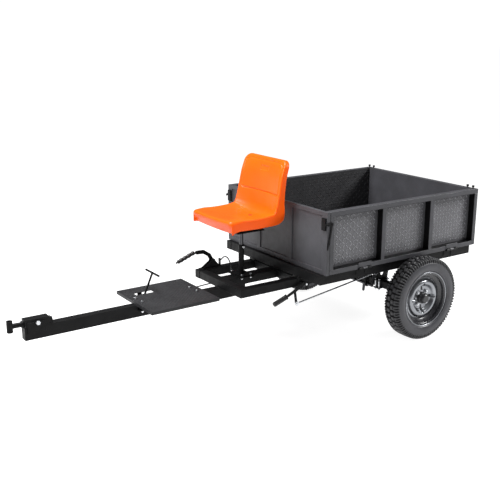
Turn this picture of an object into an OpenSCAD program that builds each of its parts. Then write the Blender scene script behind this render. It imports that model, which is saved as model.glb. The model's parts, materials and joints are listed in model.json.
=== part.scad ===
// Ride-on tipping trailer for a two-wheel walking tractor.
// +X points rearwards, +Z up, -Y is the left-hand side. Origin: middle of the outer box, on the ground.

/* [Wheels] */
// Outside diameter of the tyre
tyre_d = 520; // [460:5:640]
// Section width of the tyre
tyre_w = 118; // [100:2:145]
// Flange diameter of the rim
rim_d = 342; // [300:2:360]
// Gap between the box side and the tyre
wheel_gap = 8; // [6:1:40]
// Circle of the wheel studs
stud_circle = 100; // [96:1:112]

/* [Box] */
// Outside length of the box
box_l = 1250; // [1000:10:1600]
// Outside width of the box
box_w = 1030; // [850:10:1300]
// Height of the sides above the floor
box_h = 372; // [280:2:480]
// Thickness of a drop side, frame and sheet together
side_t = 45; // [36:1:60]
// Visible width of the panel frame bars
bar = 28; // [20:1:40]
// Sheet thickness of the panels
sheet = 2; // [1.5:0.5:4]
// Recessed fields along each drop side
fields = 3; // [2:1:5]

/* [Box subframe] */
// Height of the box rails
box_rail_h = 57; // [40:1:80]
// Width of the box rails
box_rail_w = 50; // [40:1:70]
// How far the box rails stand in from the side faces
rail_inset = 20; // [18:1:60]
// Air gap between the chassis and the box subframe
rest_gap = 21; // [19:1:40]

/* [Chassis] */
// Square tube of the chassis
tube = 50; // [40:1:60]
// Tube wall
wall = 4; // [3:0.5:6]
// Overall width of the chassis frame
chassis_w = 514; // [440:2:700]
// Reach of the chassis in front of the box
chassis_reach = 412; // [380:2:560]
// Axle centre behind the front of the box
axle_back = 706; // [600:2:760]
// Tipping hinge behind the front of the box
tip_back = 850; // [800:2:900]
// Height of the axle hangers
hanger_h = 89.5; // [75:0.5:140]
// Square beam of the axle
beam = 45; // [38:1:55]

/* [Drawbar] */
// Length of the drawbar tube
drawbar_l = 1370; // [1200:10:1700]
// Width of the drawbar tube
drawbar_w = 50; // [44:1:60]
// Height of the drawbar tube
drawbar_h = 70; // [60:1:90]
// Reach of the drawbar in front of the box
drawbar_reach = 1600; // [1500:10:1900]
// Outside diameter of the hitch bush
bush_d = 32; // [28:1:44]
// Drawbolt bore through the hitch bush
bush_bore = 20; // [16:0.5:22]
// Length of the hitch bush
bush_l = 64; // [50:1:90]
// Swivel shaft of the hitch
shaft_d = 27; // [22:1:27]

/* [Footplate] */
// Length of the footplate
plate_l = 432; // [380:2:520]
// Width of the footplate
plate_w = 444; // [380:2:520]
// Front of the footplate in front of the box
plate_reach = 967; // [940:1:1000]
// Sideways place of the brake pedal
pedal_y = 105; // [80:1:140]

/* [Seat] */
// Seat post in front of the box
post_reach = 240; // [225:1:250]
// Lower post outside diameter
post_d = 34; // [32:1:42]
// Upper post outside diameter
inner_post_d = 25; // [20:0.5:25]
// Height of the lower post
post_h = 178; // [150:1:230]
// Seat pan height above the chassis
seat_rise = 378; // [340:1:440]
// Width of the seat shell
seat_w = 440; // [380:2:480]
// Height of the backrest above the pan
back_h = 331; // [280:1:380]

/* [Hidden] */
$fn = 48;
fit = 0.05;
gap = 0.3;
weld = 0.2;

// Rearmost reach behind the front of the box is the tailgate hinge barrel
hinge_r = 5.5;
hinge_out = 6;
hinge_w = 100;
hinge_pin_r = 2.5;
bush_x0 = -drawbar_reach - 72;
tail_gap = 2;
front_end = bush_x0 - bush_d / 2;
rear_end = box_l - tail_gap + hinge_out + hinge_r;
bx = -(front_end + rear_end) / 2;

// Heights
axle_z = tyre_d / 2;
rail_z = axle_z + beam / 2 + hanger_h;
deck_z = rail_z + tube;
subframe_z = deck_z + rest_gap;
floor_z = subframe_z + box_rail_h;
top_z = floor_z + box_h;
panel_z = floor_z + 2;
floor_t = 3;

// Widths
side_y = box_w / 2;
wheel_y = side_y + wheel_gap + tyre_w / 2;
rail_y = chassis_w / 2 - tube / 2;
box_rail_y = side_y - rail_inset - box_rail_w / 2;
head_t = 22;
side_x0 = bx + head_t + 2;
side_len = box_l - head_t - 2;
tail_t = 40;
tail_half = side_y - side_t - 4;
tail_x = bx + box_l - tail_gap;
axle_x = bx + axle_back;
tip_x = bx + tip_back;
tip_z = deck_z + rest_gap / 2;
rail_rear = tip_x + 12;
rail_front = bx - chassis_reach;

// Drawbar, hitch and footplate
bar_x0 = bx - drawbar_reach;
bar_x1 = bar_x0 + drawbar_l;
bar_top = rail_z;
shaft_z = bar_top + 17;
housing_l = 133;
housing_h = 43;
bearer_h = 16;
plate_t = 3;
plate_z = bar_top + bearer_h + plate_t;
plate_x0 = bx - plate_reach;
plate_x1 = plate_x0 + plate_l;
lip = plate_z - bar_top - 0.5;
slot_x0 = plate_x0 + 62;
slot_x1 = slot_x0 + 112;
slot_w = 40;
bearer_x = [plate_x0 + 34, plate_x1 - 44];
foot_bolt_y = drawbar_w / 2 + 15;

// Pedal: pivot below the plate, leaning rearwards to its cross bar
pedal_x = plate_x0 + 102;
pedal_z = bar_top - 42;
pedal_lean = 23.7;
pedal_len = 187;
pedal_r = 7;
pedal_half = 80;
pedal_pin_r = 6;
wire_arm = 33;
wire_pin_r = 4;
wire_r = 1.5;
wire_x = pedal_x + wire_arm * sin(pedal_lean);
wire_z = pedal_z + wire_arm * cos(pedal_lean);
wire_y = pedal_y + 13;
boss_y = wire_y + 8;
anchor_x = pedal_x + 150;
cable_r = 4;

// Seat
post_x = bx - post_reach;
post_top = deck_z + 6 + 6 + post_h;
pan_z = deck_z + seat_rise;
cradle_z = pan_z - 94;
shell_t = 5;
bolt_r = 5;

// Hand lever on the left rail: pivot, corner, drop arm and grip
lever_y = -(chassis_w / 2 + 22);
lever_t = 8;
lever_pin_r = 6;
lever_pivot = [bx + 32, rail_z + 23];
lever_knee = [bx - 43, rail_z - 16];
lever_pin = [bx - 31, rail_z - 94];
grip_a = [bx - 89, rail_z - 36];
grip_b = [bx - 198, rail_z - 74];
rod_y = lever_y - 9;
rod_r = 5;
rod_end = [bx + 600, rail_z - 7];
rod_pin_r = 5;
rod_play = 6;

// Brake cross shaft
cross_x = bx + 580.3;
cross_z = rail_z - 94.8;
cross_r = 10;
cross_arm = 90;
cross_lean = 12.65;

// Car type hand lever on the right rail
park_y = rail_y;
park_pivot = [bx - 306, deck_z + 44];
park_pin_r = 5;
park_path = [[0, 0], [-22, 40], [-62, 66], [-108, 68]];
park_grip = [[-138, 66], [-165, 59], [-205, 44], [-236, 32]];
park_r = [14, 15, 15, 13];
button_tilt = 111;
button_r = 6;

// Front corner latches
latch_z = floor_z + 303;
latch_x = bx + 30;
keeper_x = bx - 5;
latch_t = 4;
latch_out = 2;
latch_pin_r = 4;

// Tailgate slide bolts
bolt_x = tail_x - tail_t / 2;
bolt_z = top_z - bar / 2;
bolt_rad = 6;
bolt_travel = 15;
knob_in = 21;

hinge_z = panel_z + 3;
hinge_y = side_y + hinge_out;
hinge_face = hinge_y - (side_y - rail_inset);
side_hinges = [bx + 294, bx + box_l - 217];
tail_hinge_x = tail_x + hinge_out;
tail_hinges = [-tail_half + 166, tail_half - 166];

// ---------------------------------------------------------------- helpers

function unit(v) = v / norm(v);

// Hollow rectangular tube along X, centred on y and z
module tube_x(x0, x1, y, z, w, h, t) {
    difference() {
        translate([x0, y - w / 2, z - h / 2]) cube([x1 - x0, w, h]);
        translate([x0 - 1, y - w / 2 + t, z - h / 2 + t]) cube([x1 - x0 + 2, w - 2 * t, h - 2 * t]);
    }
}

// Hollow rectangular tube along Y, centred on x and z
module tube_y(y0, y1, x, z, w, h, t) {
    difference() {
        translate([x - w / 2, y0, z - h / 2]) cube([w, y1 - y0, h]);
        translate([x - w / 2 + t, y0 - 1, z - h / 2 + t]) cube([w - 2 * t, y1 - y0 + 2, h - 2 * t]);
    }
}

// Round bar between two points
module rod(a, b, r) {
    v = b - a;
    translate(a) rotate([0, acos(v[2] / norm(v)), atan2(v[1], v[0])]) cylinder(h = norm(v), r = r);
}

// Round bars along X, Y and Z
module pin_x(x0, x1, y, z, r) translate([x0, y, z]) rotate([0, 90, 0]) cylinder(h = x1 - x0, r = r);
module pin_y(y0, y1, x, z, r) translate([x, y0, z]) rotate([-90, 0, 0]) cylinder(h = y1 - y0, r = r);
module pin_z(z0, z1, x, y, r) translate([x, y, z0]) cylinder(h = z1 - z0, r = r);

// Plate in the XZ plane, from y0 to y0 + t
module plate_y(y0, t) translate([0, y0 + t, 0]) rotate([90, 0, 0]) linear_extrude(t) children();

// Flat bar between two points, with round ends a little wider than the bar
module link(a, b, r) {
    v = b - a;
    translate(a) circle(r);
    translate(b) circle(r);
    translate(a) rotate(atan2(v[1], v[0])) translate([0, -0.97 * r]) square([norm(v), 1.94 * r]);
}

// Left and right copies
module both_sides() {
    children();
    mirror([0, 1, 0]) children();
}

// Hexagon bolt head or nut, upwards from the origin
module hex(r, h) cylinder(h = h, r = r, $fn = 6);

// Bolt along Z with its head on top
module bolt_down(r, length) {
    translate([0, 0, -length]) cylinder(h = length, r = r);
    hex(1.8 * r, 1.3 * r);
}

// Smooth curve through points, and a round cable along it
function spline(p, i, t) =
    let (a = p[max(i - 1, 0)], b = p[i], c = p[i + 1], d = p[min(i + 2, len(p) - 1)])
    0.5 * (2 * b + (c - a) * t + (2 * a - 5 * b + 4 * c - d) * t * t + (3 * b - a - 3 * c + d) * t * t * t);
function route(p, n) = concat([for (i = [0:len(p) - 2], k = [0:n - 1]) spline(p, i, k / n)], [p[len(p) - 1]]);
function heading(q, i) = unit(q[min(i + 1, len(q) - 1)] - q[max(i - 1, 0)]);
function ring(c, t, r, n) =
    let (u = unit(cross(t, [0.1, 1, 0.2])), v = cross(t, u))
    [for (k = [0:n - 1]) c + r * (cos(360 * k / n) * u + sin(360 * k / n) * v)];
module cable(p, r, n = 4, sides = 10) {
    q = route(p, n);
    last = len(q) - 1;
    points = [for (i = [0:last]) each ring(q[i], heading(q, i), r, sides)];
    walls = [for (i = [0:last - 1], k = [0:sides - 1]) let (m = (k + 1) % sides)
        [i * sides + k, (i + 1) * sides + k, (i + 1) * sides + m, i * sides + m]];
    ends = [[for (k = [0:sides - 1]) k], [for (k = [0:sides - 1]) last * sides + sides - 1 - k]];
    polyhedron(points, concat(walls, ends), convexity = 6);
}

// Wheel frame: local +Z points outboard from the wheel's middle plane
module on_wheel(side) translate([axle_x, side * wheel_y, axle_z]) rotate([-90 * side, 0, 0]) children();
module around(n, r, start = 0) for (i = [0:n - 1]) rotate(start + 360 * i / n) translate([r, 0, 0]) children();

// ---------------------------------------------------------------- chassis

module drawbar() {
    color("#1c1c1e") {
        tube_x(bar_x0, bar_x1, 0, bar_top - drawbar_h / 2, drawbar_w, drawbar_h, wall);
        for (x = [bar_x0 - 3, bar_x1])
            translate([x, -drawbar_w / 2, bar_top - drawbar_h]) cube([3, drawbar_w, drawbar_h]);
    }
}

// Swivel housing on the drawbar's nose, with cheeks down its sides
module hitch_housing() {
    cheek = 6;
    color("#1c1c1e") difference() {
        union() {
            translate([bar_x0, -drawbar_w / 2, bar_top]) cube([housing_l, drawbar_w, housing_h]);
            for (s = [-1, 1]) translate([bar_x0 + 12, s * (drawbar_w / 2 + cheek / 2) - cheek / 2, bar_top - 32])
                cube([housing_l - 34, cheek, housing_h + 16]);
            translate([bar_x0 + housing_l - 8, -drawbar_w / 2 + 4, bar_top]) cube([26, drawbar_w - 8, housing_h - 13]);
        }
        pin_x(bar_x0 - 1, bar_x0 + housing_l + 40, 0, shaft_z, shaft_d / 2 + fit);
        pin_y(-drawbar_w, -shaft_d / 2 - 1, bar_x0 + 68, shaft_z + 4, bolt_r + 0.2);
    }
}

// Vertical drawbolt bush on its swivel shaft, with the collar behind the housing
module hitch_coupler() {
    x1 = bar_x0 + housing_l + 22;
    xb = bx + bush_x0;
    color("#232326") difference() {
        union() {
            pin_z(shaft_z - bush_l / 2, shaft_z + bush_l / 2, xb, 0, bush_d / 2);
            pin_x(xb + bush_d / 4, x1, 0, shaft_z, shaft_d / 2);
            pin_x(bar_x0 - 12, bar_x0 - 0.5 - 3, 0, shaft_z, shaft_d / 2 + 5);
        }
        pin_z(shaft_z - bush_l, shaft_z + bush_l, xb, 0, bush_bore / 2);
    }
}

module side_rails() {
    color("#1c1c1e") both_sides() {
        tube_x(rail_front, rail_rear, rail_y, rail_z + tube / 2, tube, tube, wall);
        for (x = [rail_front - 2, rail_rear])
            translate([x, rail_y - tube / 2, rail_z]) cube([2, tube, tube]);
    }
}

member_x = [rail_front + tube / 2, bx + 25, axle_x, rail_rear - tube / 2];

module cross_members() {
    half = rail_y - tube / 2 - weld;
    color("#1c1c1e") for (x = member_x)
        tube_y(-half, half, x, rail_z + tube / 2, tube, tube, wall);
}

// Beam under the seat post and the plate that the post is bolted to
seat_beam_w = 80;
base_l = 96;
base_w = 150;
post_bolts = [for (i = [-1, 1], j = [-1, 1]) [32 * i, 54 * j]];
module seat_beam() {
    x0 = member_x[0] + tube / 2 + weld;
    x1 = member_x[1] - tube / 2 - weld;
    color("#1c1c1e") {
        tube_x(x0, x1, 0, rail_z + tube / 2, seat_beam_w, tube, wall);
        difference() {
            translate([post_x - base_l / 2, -base_w / 2, deck_z]) cube([base_l, base_w, 6]);
            for (b = post_bolts) pin_z(deck_z - 1, deck_z + 7, post_x + b[0], b[1], bolt_r + 0.2);
        }
    }
}

// ---------------------------------------------------------------- footplate and pedal

module footplate() {
    color("#38383b") difference() {
        translate([plate_x0, -plate_w / 2, plate_z - lip]) cube([plate_l, plate_w, lip]);
        translate([plate_x0 + plate_t, -plate_w / 2 + plate_t, plate_z - lip - 1])
            cube([plate_l - 2 * plate_t, plate_w - 2 * plate_t, lip + 1 - plate_t]);
        translate([slot_x0, pedal_y - slot_w / 2, plate_z - plate_t - 1]) cube([slot_x1 - slot_x0, slot_w, plate_t + 2]);
        for (x = bearer_x, s = [-1, 1])
            pin_z(plate_z - plate_t - 1, plate_z + 1, x, s * foot_bolt_y, bolt_r + 0.2);
    }
}

// Cross bearers, ears on the drawbar, pedal ears with their pin, and the cable anchor
module footplate_brackets() {
    bearer_w = 36;
    half = plate_w / 2 - plate_t - 2;
    ear_t = 4;
    top = plate_z - plate_t;
    color("#1c1c1e") {
        for (x = bearer_x) {
            difference() {
                translate([x - bearer_w / 2, -half, bar_top]) cube([bearer_w, 2 * half, bearer_h]);
                for (s = [-1, 1]) pin_z(bar_top - 1, top + 1, x, s * foot_bolt_y, bolt_r + 0.2);
            }
            for (s = [-1, 1]) difference() {
                translate([x - 22, s * (drawbar_w / 2 + 15) - 15, bar_top - 30]) cube([44, 30, 7]);
                pin_z(bar_top - 31, bar_top, x, s * foot_bolt_y, bolt_r + 0.2);
            }
        }
        for (y = [pedal_y - pedal_r - 1 - ear_t, boss_y + 1]) difference() {
            plate_y(y, ear_t) {
                translate([pedal_x, pedal_z]) circle(14);
                translate([pedal_x - 14, pedal_z]) square([28, top - pedal_z]);
            }
            pin_y(pedal_y - 30, boss_y + 10, pedal_x, pedal_z, pedal_pin_r);
        }
        pin_y(pedal_y - pedal_r - ear_t - 4, boss_y + ear_t + 4, pedal_x, pedal_z, pedal_pin_r);
        difference() {
            translate([anchor_x - 3, wire_y - 15, wire_z - 14]) cube([6, 30, top - wire_z + 14]);
            pin_x(anchor_x - 4, anchor_x + 4, wire_y, wire_z, wire_r + 1);
        }
    }
}

// Pedal lever, pivoted at its foot, with a cross bar for the sole
module pedal_arm() {
    color("#1c1c1e") translate([pedal_x, pedal_y, pedal_z]) rotate([0, pedal_lean, 0]) {
        difference() {
            union() {
                translate([0, -pedal_r, 0]) rotate([-90, 0, 0]) cylinder(h = pedal_r + boss_y - pedal_y, r = 13);
                cylinder(h = pedal_len, r = pedal_r - 1);
            }
            rotate([90, 0, 0]) cylinder(h = 90, r = pedal_pin_r + fit, center = true);
        }
        translate([0, 0, pedal_len]) rotate([90, 0, 0]) cylinder(h = 2 * pedal_half, r = 6, center = true);
        translate([0, 0, wire_arm]) rotate([-90, 0, 0]) cylinder(h = wire_y - pedal_y + 5, r = wire_pin_r);
    }
}

// Inner wire of the pedal cable: an eye round the lever's stud, drawn through the anchor
module pedal_wire() {
    eye_r = 14;
    color("#8b8d90") {
        difference() {
            union() {
                plate_y(wire_y - 2, 4) translate([wire_x, wire_z]) circle(eye_r);
                pin_x(wire_x + eye_r - 2, anchor_x + 40, wire_y, wire_z, wire_r);
            }
            pin_y(wire_y - 5, wire_y + 5, wire_x, wire_z, wire_pin_r + 5);
        }
    }
}

// Cable housings: pedal and parking brake, both to the cross shaft under the box
module brake_cables() {
    y1 = rail_y - tube / 2 - 22;
    pedal_route = [
        [anchor_x + 4, wire_y, wire_z], [anchor_x + 60, wire_y, wire_z], [anchor_x + 150, wire_y + 12, wire_z - 12],
        [bx - 380, 146, rail_z - 22], [bx - 200, 150, rail_z - 20], [bx, 150, rail_z - 18],
        [bx + 250, 150, rail_z - 20], [bx + 430, 150, rail_z - 36], [cross_x - 60, 150, cross_z + 18]
    ];
    park_route = [
        [park_pivot[0] + 59, park_y, deck_z + 40], [park_pivot[0] + 67, park_y, deck_z + 40],
        [park_pivot[0] + 84, park_y - 6, deck_z + 56],
        [park_pivot[0] + 100, park_y - 22, deck_z + 52], [park_pivot[0] + 106, park_y - 46, deck_z + 20],
        [park_pivot[0] + 112, y1, deck_z - 30], [park_pivot[0] + 140, y1 - 2, rail_z - 8],
        [bx - 60, y1 - 4, rail_z - 24], [bx + 120, y1 - 4, rail_z - 22], [bx + 320, y1 - 4, rail_z - 26],
        [bx + 460, y1 - 4, rail_z - 44], [cross_x - 60, y1 - 4, cross_z + 18]
    ];
    color("#161618") difference() {
        cable(pedal_route, cable_r);
        pin_x(anchor_x - 5, anchor_x + 44, wire_y, wire_z, wire_r + 0.8);
    }
    color("#161618") cable(park_route, cable_r);
}

// ---------------------------------------------------------------- axle

hanger_bolts = [for (i = [-1, 1], j = [-1, 1]) [i * (beam / 2 + 12), j * 16]];
module at_hangers() for (s = [-1, 1]) translate([axle_x, s * rail_y, 0]) children();
module hanger_holes(z0, z1) for (b = hanger_bolts) pin_z(z0, z1, b[0], b[1], bolt_r + 0.2);

stub_in = 122;
module axle_beam() {
    end_y = wheel_y - stub_in;
    color("#1c1c1e") tube_y(-end_y, end_y, axle_x, axle_z, beam, beam, wall);
    color("#77797c") for (side = [-1, 1]) on_wheel(side) {
        translate([0, 0, -stub_in]) cylinder(h = stub_in - 48, r = 22);
        translate([0, 0, -72]) cylinder(h = 6, r = 45);
        translate([0, 0, -50]) cylinder(h = 88, r = 15);
    }
}

// Pressed hangers between the rails and the axle, and the clamp plates under it
module axle_hangers() {
    z0 = axle_z + beam / 2;
    pad = beam / 2 + 24;
    color("#1c1c1e") at_hangers() {
        difference() {
            union() {
                translate([-pad, -25, z0]) cube([2 * pad, 50, 6]);
                translate([-60, -25, rail_z - 6]) cube([120, 50, 6]);
                plate_y(-4, 8) polygon([[-pad, z0 + 5], [pad, z0 + 5], [60, rail_z - 5], [-60, rail_z - 5]]);
            }
            hanger_holes(z0 - 1, z0 + 20);
            pin_y(-10, 10, 0, z0 + hanger_h / 2, 14);
        }
        difference() {
            translate([-pad, -25, axle_z - beam / 2 - 6]) cube([2 * pad, 50, 6]);
            hanger_holes(axle_z - beam / 2 - 7, axle_z - beam / 2 + 1);
        }
    }
}

module brake_backplates() {
    color("#3a3a3d") for (side = [-1, 1]) on_wheel(side) translate([0, 0, -66]) difference() {
        cylinder(h = 3, r = 98);
        translate([0, 0, -1]) cylinder(h = 5, r = 22.3);
    }
}

module brake_shoes() {
    color("#6b5c4e") for (side = [-1, 1]) on_wheel(side) for (a = [40, 220])
        translate([0, 0, -62.7]) rotate(a) rotate_extrude(angle = 100) translate([82, 0]) square([10, 48]);
}

module hub_bearings() {
    color("#b9bbbe") for (side = [-1, 1], z = [-48, 0]) on_wheel(side) translate([0, 0, z]) difference() {
        cylinder(h = 20, r = 31);
        translate([0, 0, -1]) cylinder(h = 22, r = 15.02);
    }
}

// All plain fasteners of the chassis
module frame_bolts() {
    z_axle = axle_z + beam / 2 + 6;
    color("#9a9ca0") {
        for (b = post_bolts) translate([post_x + b[0], b[1], deck_z + 12]) {
            bolt_down(bolt_r, 24);
            translate([0, 0, -20]) hex(1.7 * bolt_r, 7.5);
        }
        for (x = bearer_x, s = [-1, 1]) translate([x, s * foot_bolt_y, plate_z]) {
            bolt_down(bolt_r, 62);
            translate([0, 0, -plate_t - bearer_h - 30 - 8.2]) hex(1.7 * bolt_r, 8);
        }
        at_hangers() for (b = hanger_bolts) translate([b[0], b[1], z_axle]) {
            bolt_down(bolt_r, beam + 26);
            translate([0, 0, -beam - 20.5]) hex(1.7 * bolt_r, 8);
        }
        translate([bar_x0 + 68, -drawbar_w / 2 - 6, shaft_z + 4]) rotate([90, 0, 0]) {
            hex(12.5, 9);
            translate([0, 0, -16]) cylinder(h = 16, r = bolt_r);
        }
        translate([post_x, -post_d / 2 - 6, post_top - 12]) rotate([90, 0, 0]) {
            hex(7.5, 6);
            translate([0, 0, -9]) cylinder(h = 9, r = 4);
        }
        for (side = [-1, 1]) on_wheel(side) translate([0, 0, 20]) difference() {
            hex(22, 14);
            translate([0, 0, -1]) cylinder(h = 16, r = 15.02);
        }
        pin_y(-chassis_w / 2 - 7, -chassis_w / 2 - 4, lever_pivot[0] + 28, lever_pivot[1] - 20, 7);
    }
}

// ---------------------------------------------------------------- seat

module seat_post_outer() {
    z0 = deck_z + 6;
    color("#1c1c1e") difference() {
        union() {
            translate([post_x - 45, -70, z0]) cube([90, 140, 6]);
            pin_z(z0, post_top, post_x, 0, post_d / 2);
            pin_y(-post_d / 2 - 6, -inner_post_d / 2 - 1, post_x, post_top - 12, 9);
        }
        pin_z(z0 - 1, post_top + 1, post_x, 0, inner_post_d / 2 + fit);
        pin_y(-40, 0, post_x, post_top - 12, 4.2);
        for (b = post_bolts) pin_z(z0 - 1, z0 + 7, post_x + b[0], b[1], bolt_r + 0.2);
    }
}

module seat_post_inner() {
    color("#2a2a2c") difference() {
        pin_z(post_top - 120, cradle_z, post_x, 0, inner_post_d / 2);
        pin_z(post_top - 121, cradle_z - 4, post_x, 0, inner_post_d / 2 - 3);
    }
}

// Plate on the post and two raised flanges under the pan
module seat_mount_plate() {
    rise = pan_z - shell_t - 14 - cradle_z;
    color("#1c1c1e") {
        translate([post_x - 90, -100, cradle_z]) cube([190, 200, 6]);
        for (s = [-1, 1]) {
            translate([post_x - 90, s * 84 - 3, cradle_z + 6]) cube([190, 6, rise - 12]);
            translate([post_x - 90, s * 84 - 16, cradle_z + rise - 6]) cube([190, 32, 6]);
        }
    }
}

// Side profile of the moulded shell: lip, pan, bend and backrest
pan_front = -222;
lean_x = 190;
skirt = 76;
shell_line = [
    [pan_front, -skirt], [pan_front, -8], [pan_front + 5, 4], [pan_front + 18, 9], [-150, 4], [-60, -8], [40, -14],
    [100, -10], [128, 4], [144, 30], [153, 64], [163, 130], [176, 220], [lean_x, back_h - 6], [lean_x + 6, back_h]
];
shell_back = [
    [pan_front, -skirt], [120, 18 - skirt], [172, -50], [198, -28], [210, 10], [214, 64], [215, 130], [218, 220],
    [lean_x + 31, back_h]
];
function side_of(p, i, t) =
    let (d = unit(p[min(i + 1, len(p) - 1)] - p[max(i - 1, 0)])) p[i] + t * [d[1], -d[0]];
function band(p, t) = concat(p, [for (i = [len(p) - 1:-1:0]) side_of(p, i, t)]);
function arc2(c, r, a0, a1) = [for (k = [0:6]) c + r * [cos(a0 + (a1 - a0) * k / 6), sin(a0 + (a1 - a0) * k / 6)]];

module seat_shell() {
    corner = 55;
    half = seat_w / 2;
    top_half = half - 25;
    color("#f26c14") intersection() {
        translate([post_x, 0, pan_z]) union() {
            plate_y(-half, seat_w) polygon(band(shell_line, shell_t));
            for (y = [-half, half - shell_t]) plate_y(y, shell_t)
                polygon(concat(shell_line, [for (i = [len(shell_back) - 1:-1:1]) shell_back[i]]));
        }
        translate([post_x - 400, 0, pan_z]) rotate([90, 0, 90]) linear_extrude(800) polygon(concat(
            [[-half, -80], [half, -80], [half, 140]],
            arc2([top_half - corner, back_h - corner], corner, 0, 90),
            arc2([-top_half + corner, back_h - corner], corner, 90, 180),
            [[-half, 140]]
        ));
    }
}

// ---------------------------------------------------------------- left hand lever and pull rod

module brake_lever_bracket() {
    y0 = -chassis_w / 2 - 4;
    color("#1c1c1e") {
        plate_y(y0, 4) {
            link(lever_pivot + [-28, 20], lever_pivot, 12);
            link(lever_pivot, lever_pivot + [34, -24], 13);
            link(lever_pivot + [34, -24], lever_pivot + [30, -48], 10);
        }
        pin_y(lever_y - lever_t, y0 + 1, lever_pivot[0], lever_pivot[1], lever_pin_r);
    }
}

module brake_lever() {
    color("#242426") difference() {
        plate_y(lever_y - lever_t / 2, lever_t - 2) {
            link(lever_pivot, lever_knee, 11);
            link(lever_knee, grip_a, 9);
            link(lever_knee, lever_pin, 8);
            link(grip_a, grip_b + [6, 2], 4);
        }
        pin_y(lever_y - 20, lever_y + 20, lever_pivot[0], lever_pivot[1], lever_pin_r + fit);
        pin_y(lever_y - 20, lever_y + 20, lever_pin[0], lever_pin[1], rod_pin_r + fit);
    }
}

// Ribbed grip with a collar
module brake_lever_grip() {
    a = [grip_a[0] - 11, lever_y - 1, grip_a[1] - 3.8];
    b = [grip_b[0], lever_y - 1, grip_b[1]];
    v = b - a;
    color("#0f0f10") difference() {
        union() {
            rod(a, b, 12);
            for (i = [0:8]) rod(a + v * (0.12 + i * 0.1), a + v * (0.15 + i * 0.1), 13.4);
            rod(a, a + v * 0.05, 17);
        }
        rod(a - v * 0.01, a + v * 0.98, 5.2);
    }
}

// Pull rod with an eye on the lever's pin and an oversize eye on the cross shaft's arm
module brake_rod() {
    a = [lever_pin[0], rod_y, lever_pin[1]];
    b = [rod_end[0], rod_y, rod_end[1]];
    u = unit(b - a);
    eye = rod_pin_r + rod_play;
    color("#8b8d90") {
        difference() {
            union() {
                rod(a + u * 12, b - u * (eye + 3), rod_r);
                pin_y(rod_y - 4, rod_y + 4, a[0], a[2], 14);
                pin_y(rod_y - 4, rod_y + 4, b[0], b[2], eye + 6);
            }
            pin_y(rod_y - 9, rod_y + 9, a[0], a[2], rod_pin_r);
            pin_y(rod_y - 9, rod_y + 9, b[0], b[2], eye);
        }
        pin_y(rod_y - 8, lever_y + lever_t / 2 + 2, a[0], a[2], rod_pin_r);
    }
}

// Hangers of the brake cross shaft under the side rails
module brake_shaft_brackets() {
    color("#1c1c1e") for (s = [-1, 1]) difference() {
        plate_y(s * rail_y - 4, 8) {
            translate([cross_x, cross_z]) circle(18);
            translate([cross_x - 18, cross_z]) square([36, rail_z - cross_z]);
        }
        pin_y(s * rail_y - 10, s * rail_y + 10, cross_x, cross_z, cross_r + fit);
    }
}

// Cross shaft with the rod's arm and two drop arms for the wheel brakes
module brake_shaft() {
    half = rail_y + 40;
    color("#2a2a2c") {
        pin_y(rod_y + 5, half, cross_x, cross_z, cross_r);
        plate_y(rod_y + 5, 7) link([cross_x, cross_z], [cross_x, cross_z] + cross_arm * [sin(cross_lean), cos(cross_lean)], 10);
        pin_y(rod_y - 6, rod_y + 6, cross_x + cross_arm * sin(cross_lean), cross_z + cross_arm * cos(cross_lean), rod_pin_r);
        for (y = [-rail_y + 24, rail_y - 32]) plate_y(y, 8) link([cross_x, cross_z], [cross_x - 4, cross_z - 46], 9);
    }
}

// ---------------------------------------------------------------- right hand lever

module parking_lever_bracket() {
    color("#1c1c1e") {
        translate([park_pivot[0] - 84, park_y - 24, deck_z]) cube([154, 48, 4]);
        for (s = [-1, 1]) difference() {
            plate_y(park_y + s * 12 - 2, 4) {
                translate(park_pivot) circle(17);
                polygon([[park_pivot[0] - 76, deck_z + 4], [park_pivot[0] + 52, deck_z + 4],
                    [park_pivot[0] + 17, park_pivot[1]], [park_pivot[0] - 17, park_pivot[1]]]);
            }
            pin_y(park_y - 20, park_y + 20, park_pivot[0], park_pivot[1], park_pin_r);
        }
        pin_y(park_y - 16, park_y + 16, park_pivot[0], park_pivot[1], park_pin_r);
        translate([park_pivot[0] + 54, park_y - 12, deck_z + 4]) cube([4, 24, 48]);
    }
}

function park_at(p) = [park_pivot[0] + p[0], park_y, park_pivot[1] + p[1]];
tang_a = [-104, 68];
tang_b = [-160, 61];
module at_button() translate(park_at(park_grip[3])) rotate([0, -button_tilt, 0]) children();
module parking_lever() {
    color("#1c1c1e") difference() {
        union() {
            plate_y(park_y - 6, 12) {
                for (i = [0:2]) link(park_pivot + park_path[i], park_pivot + park_path[i + 1], 12);
            }
            plate_y(park_y - 3, 6) link(park_pivot + tang_a, park_pivot + tang_b, 4);
        }
        pin_y(park_y - 20, park_y + 20, park_pivot[0], park_pivot[1], park_pin_r + fit);
    }
}

// Curved moulded grip, bored at the tip for the button
module parking_grip() {
    color("#0f0f10") difference() {
        for (i = [0:2]) hull() {
            for (k = [i, i + 1]) translate(park_at(park_grip[k])) sphere(park_r[k], $fn = 28);
        }
        rod(park_at(tang_a + 0.2 * (tang_a - tang_b)), park_at(tang_b + 0.1 * (tang_b - tang_a)), 5.2);
        at_button() translate([0, 0, -12]) cylinder(h = 40, r = button_r + 0.3);
    }
}

module parking_button() {
    color("#2c2c2e") at_button() translate([0, 0, -2]) cylinder(h = 24, r = button_r);
}

// ---------------------------------------------------------------- wheels

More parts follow.
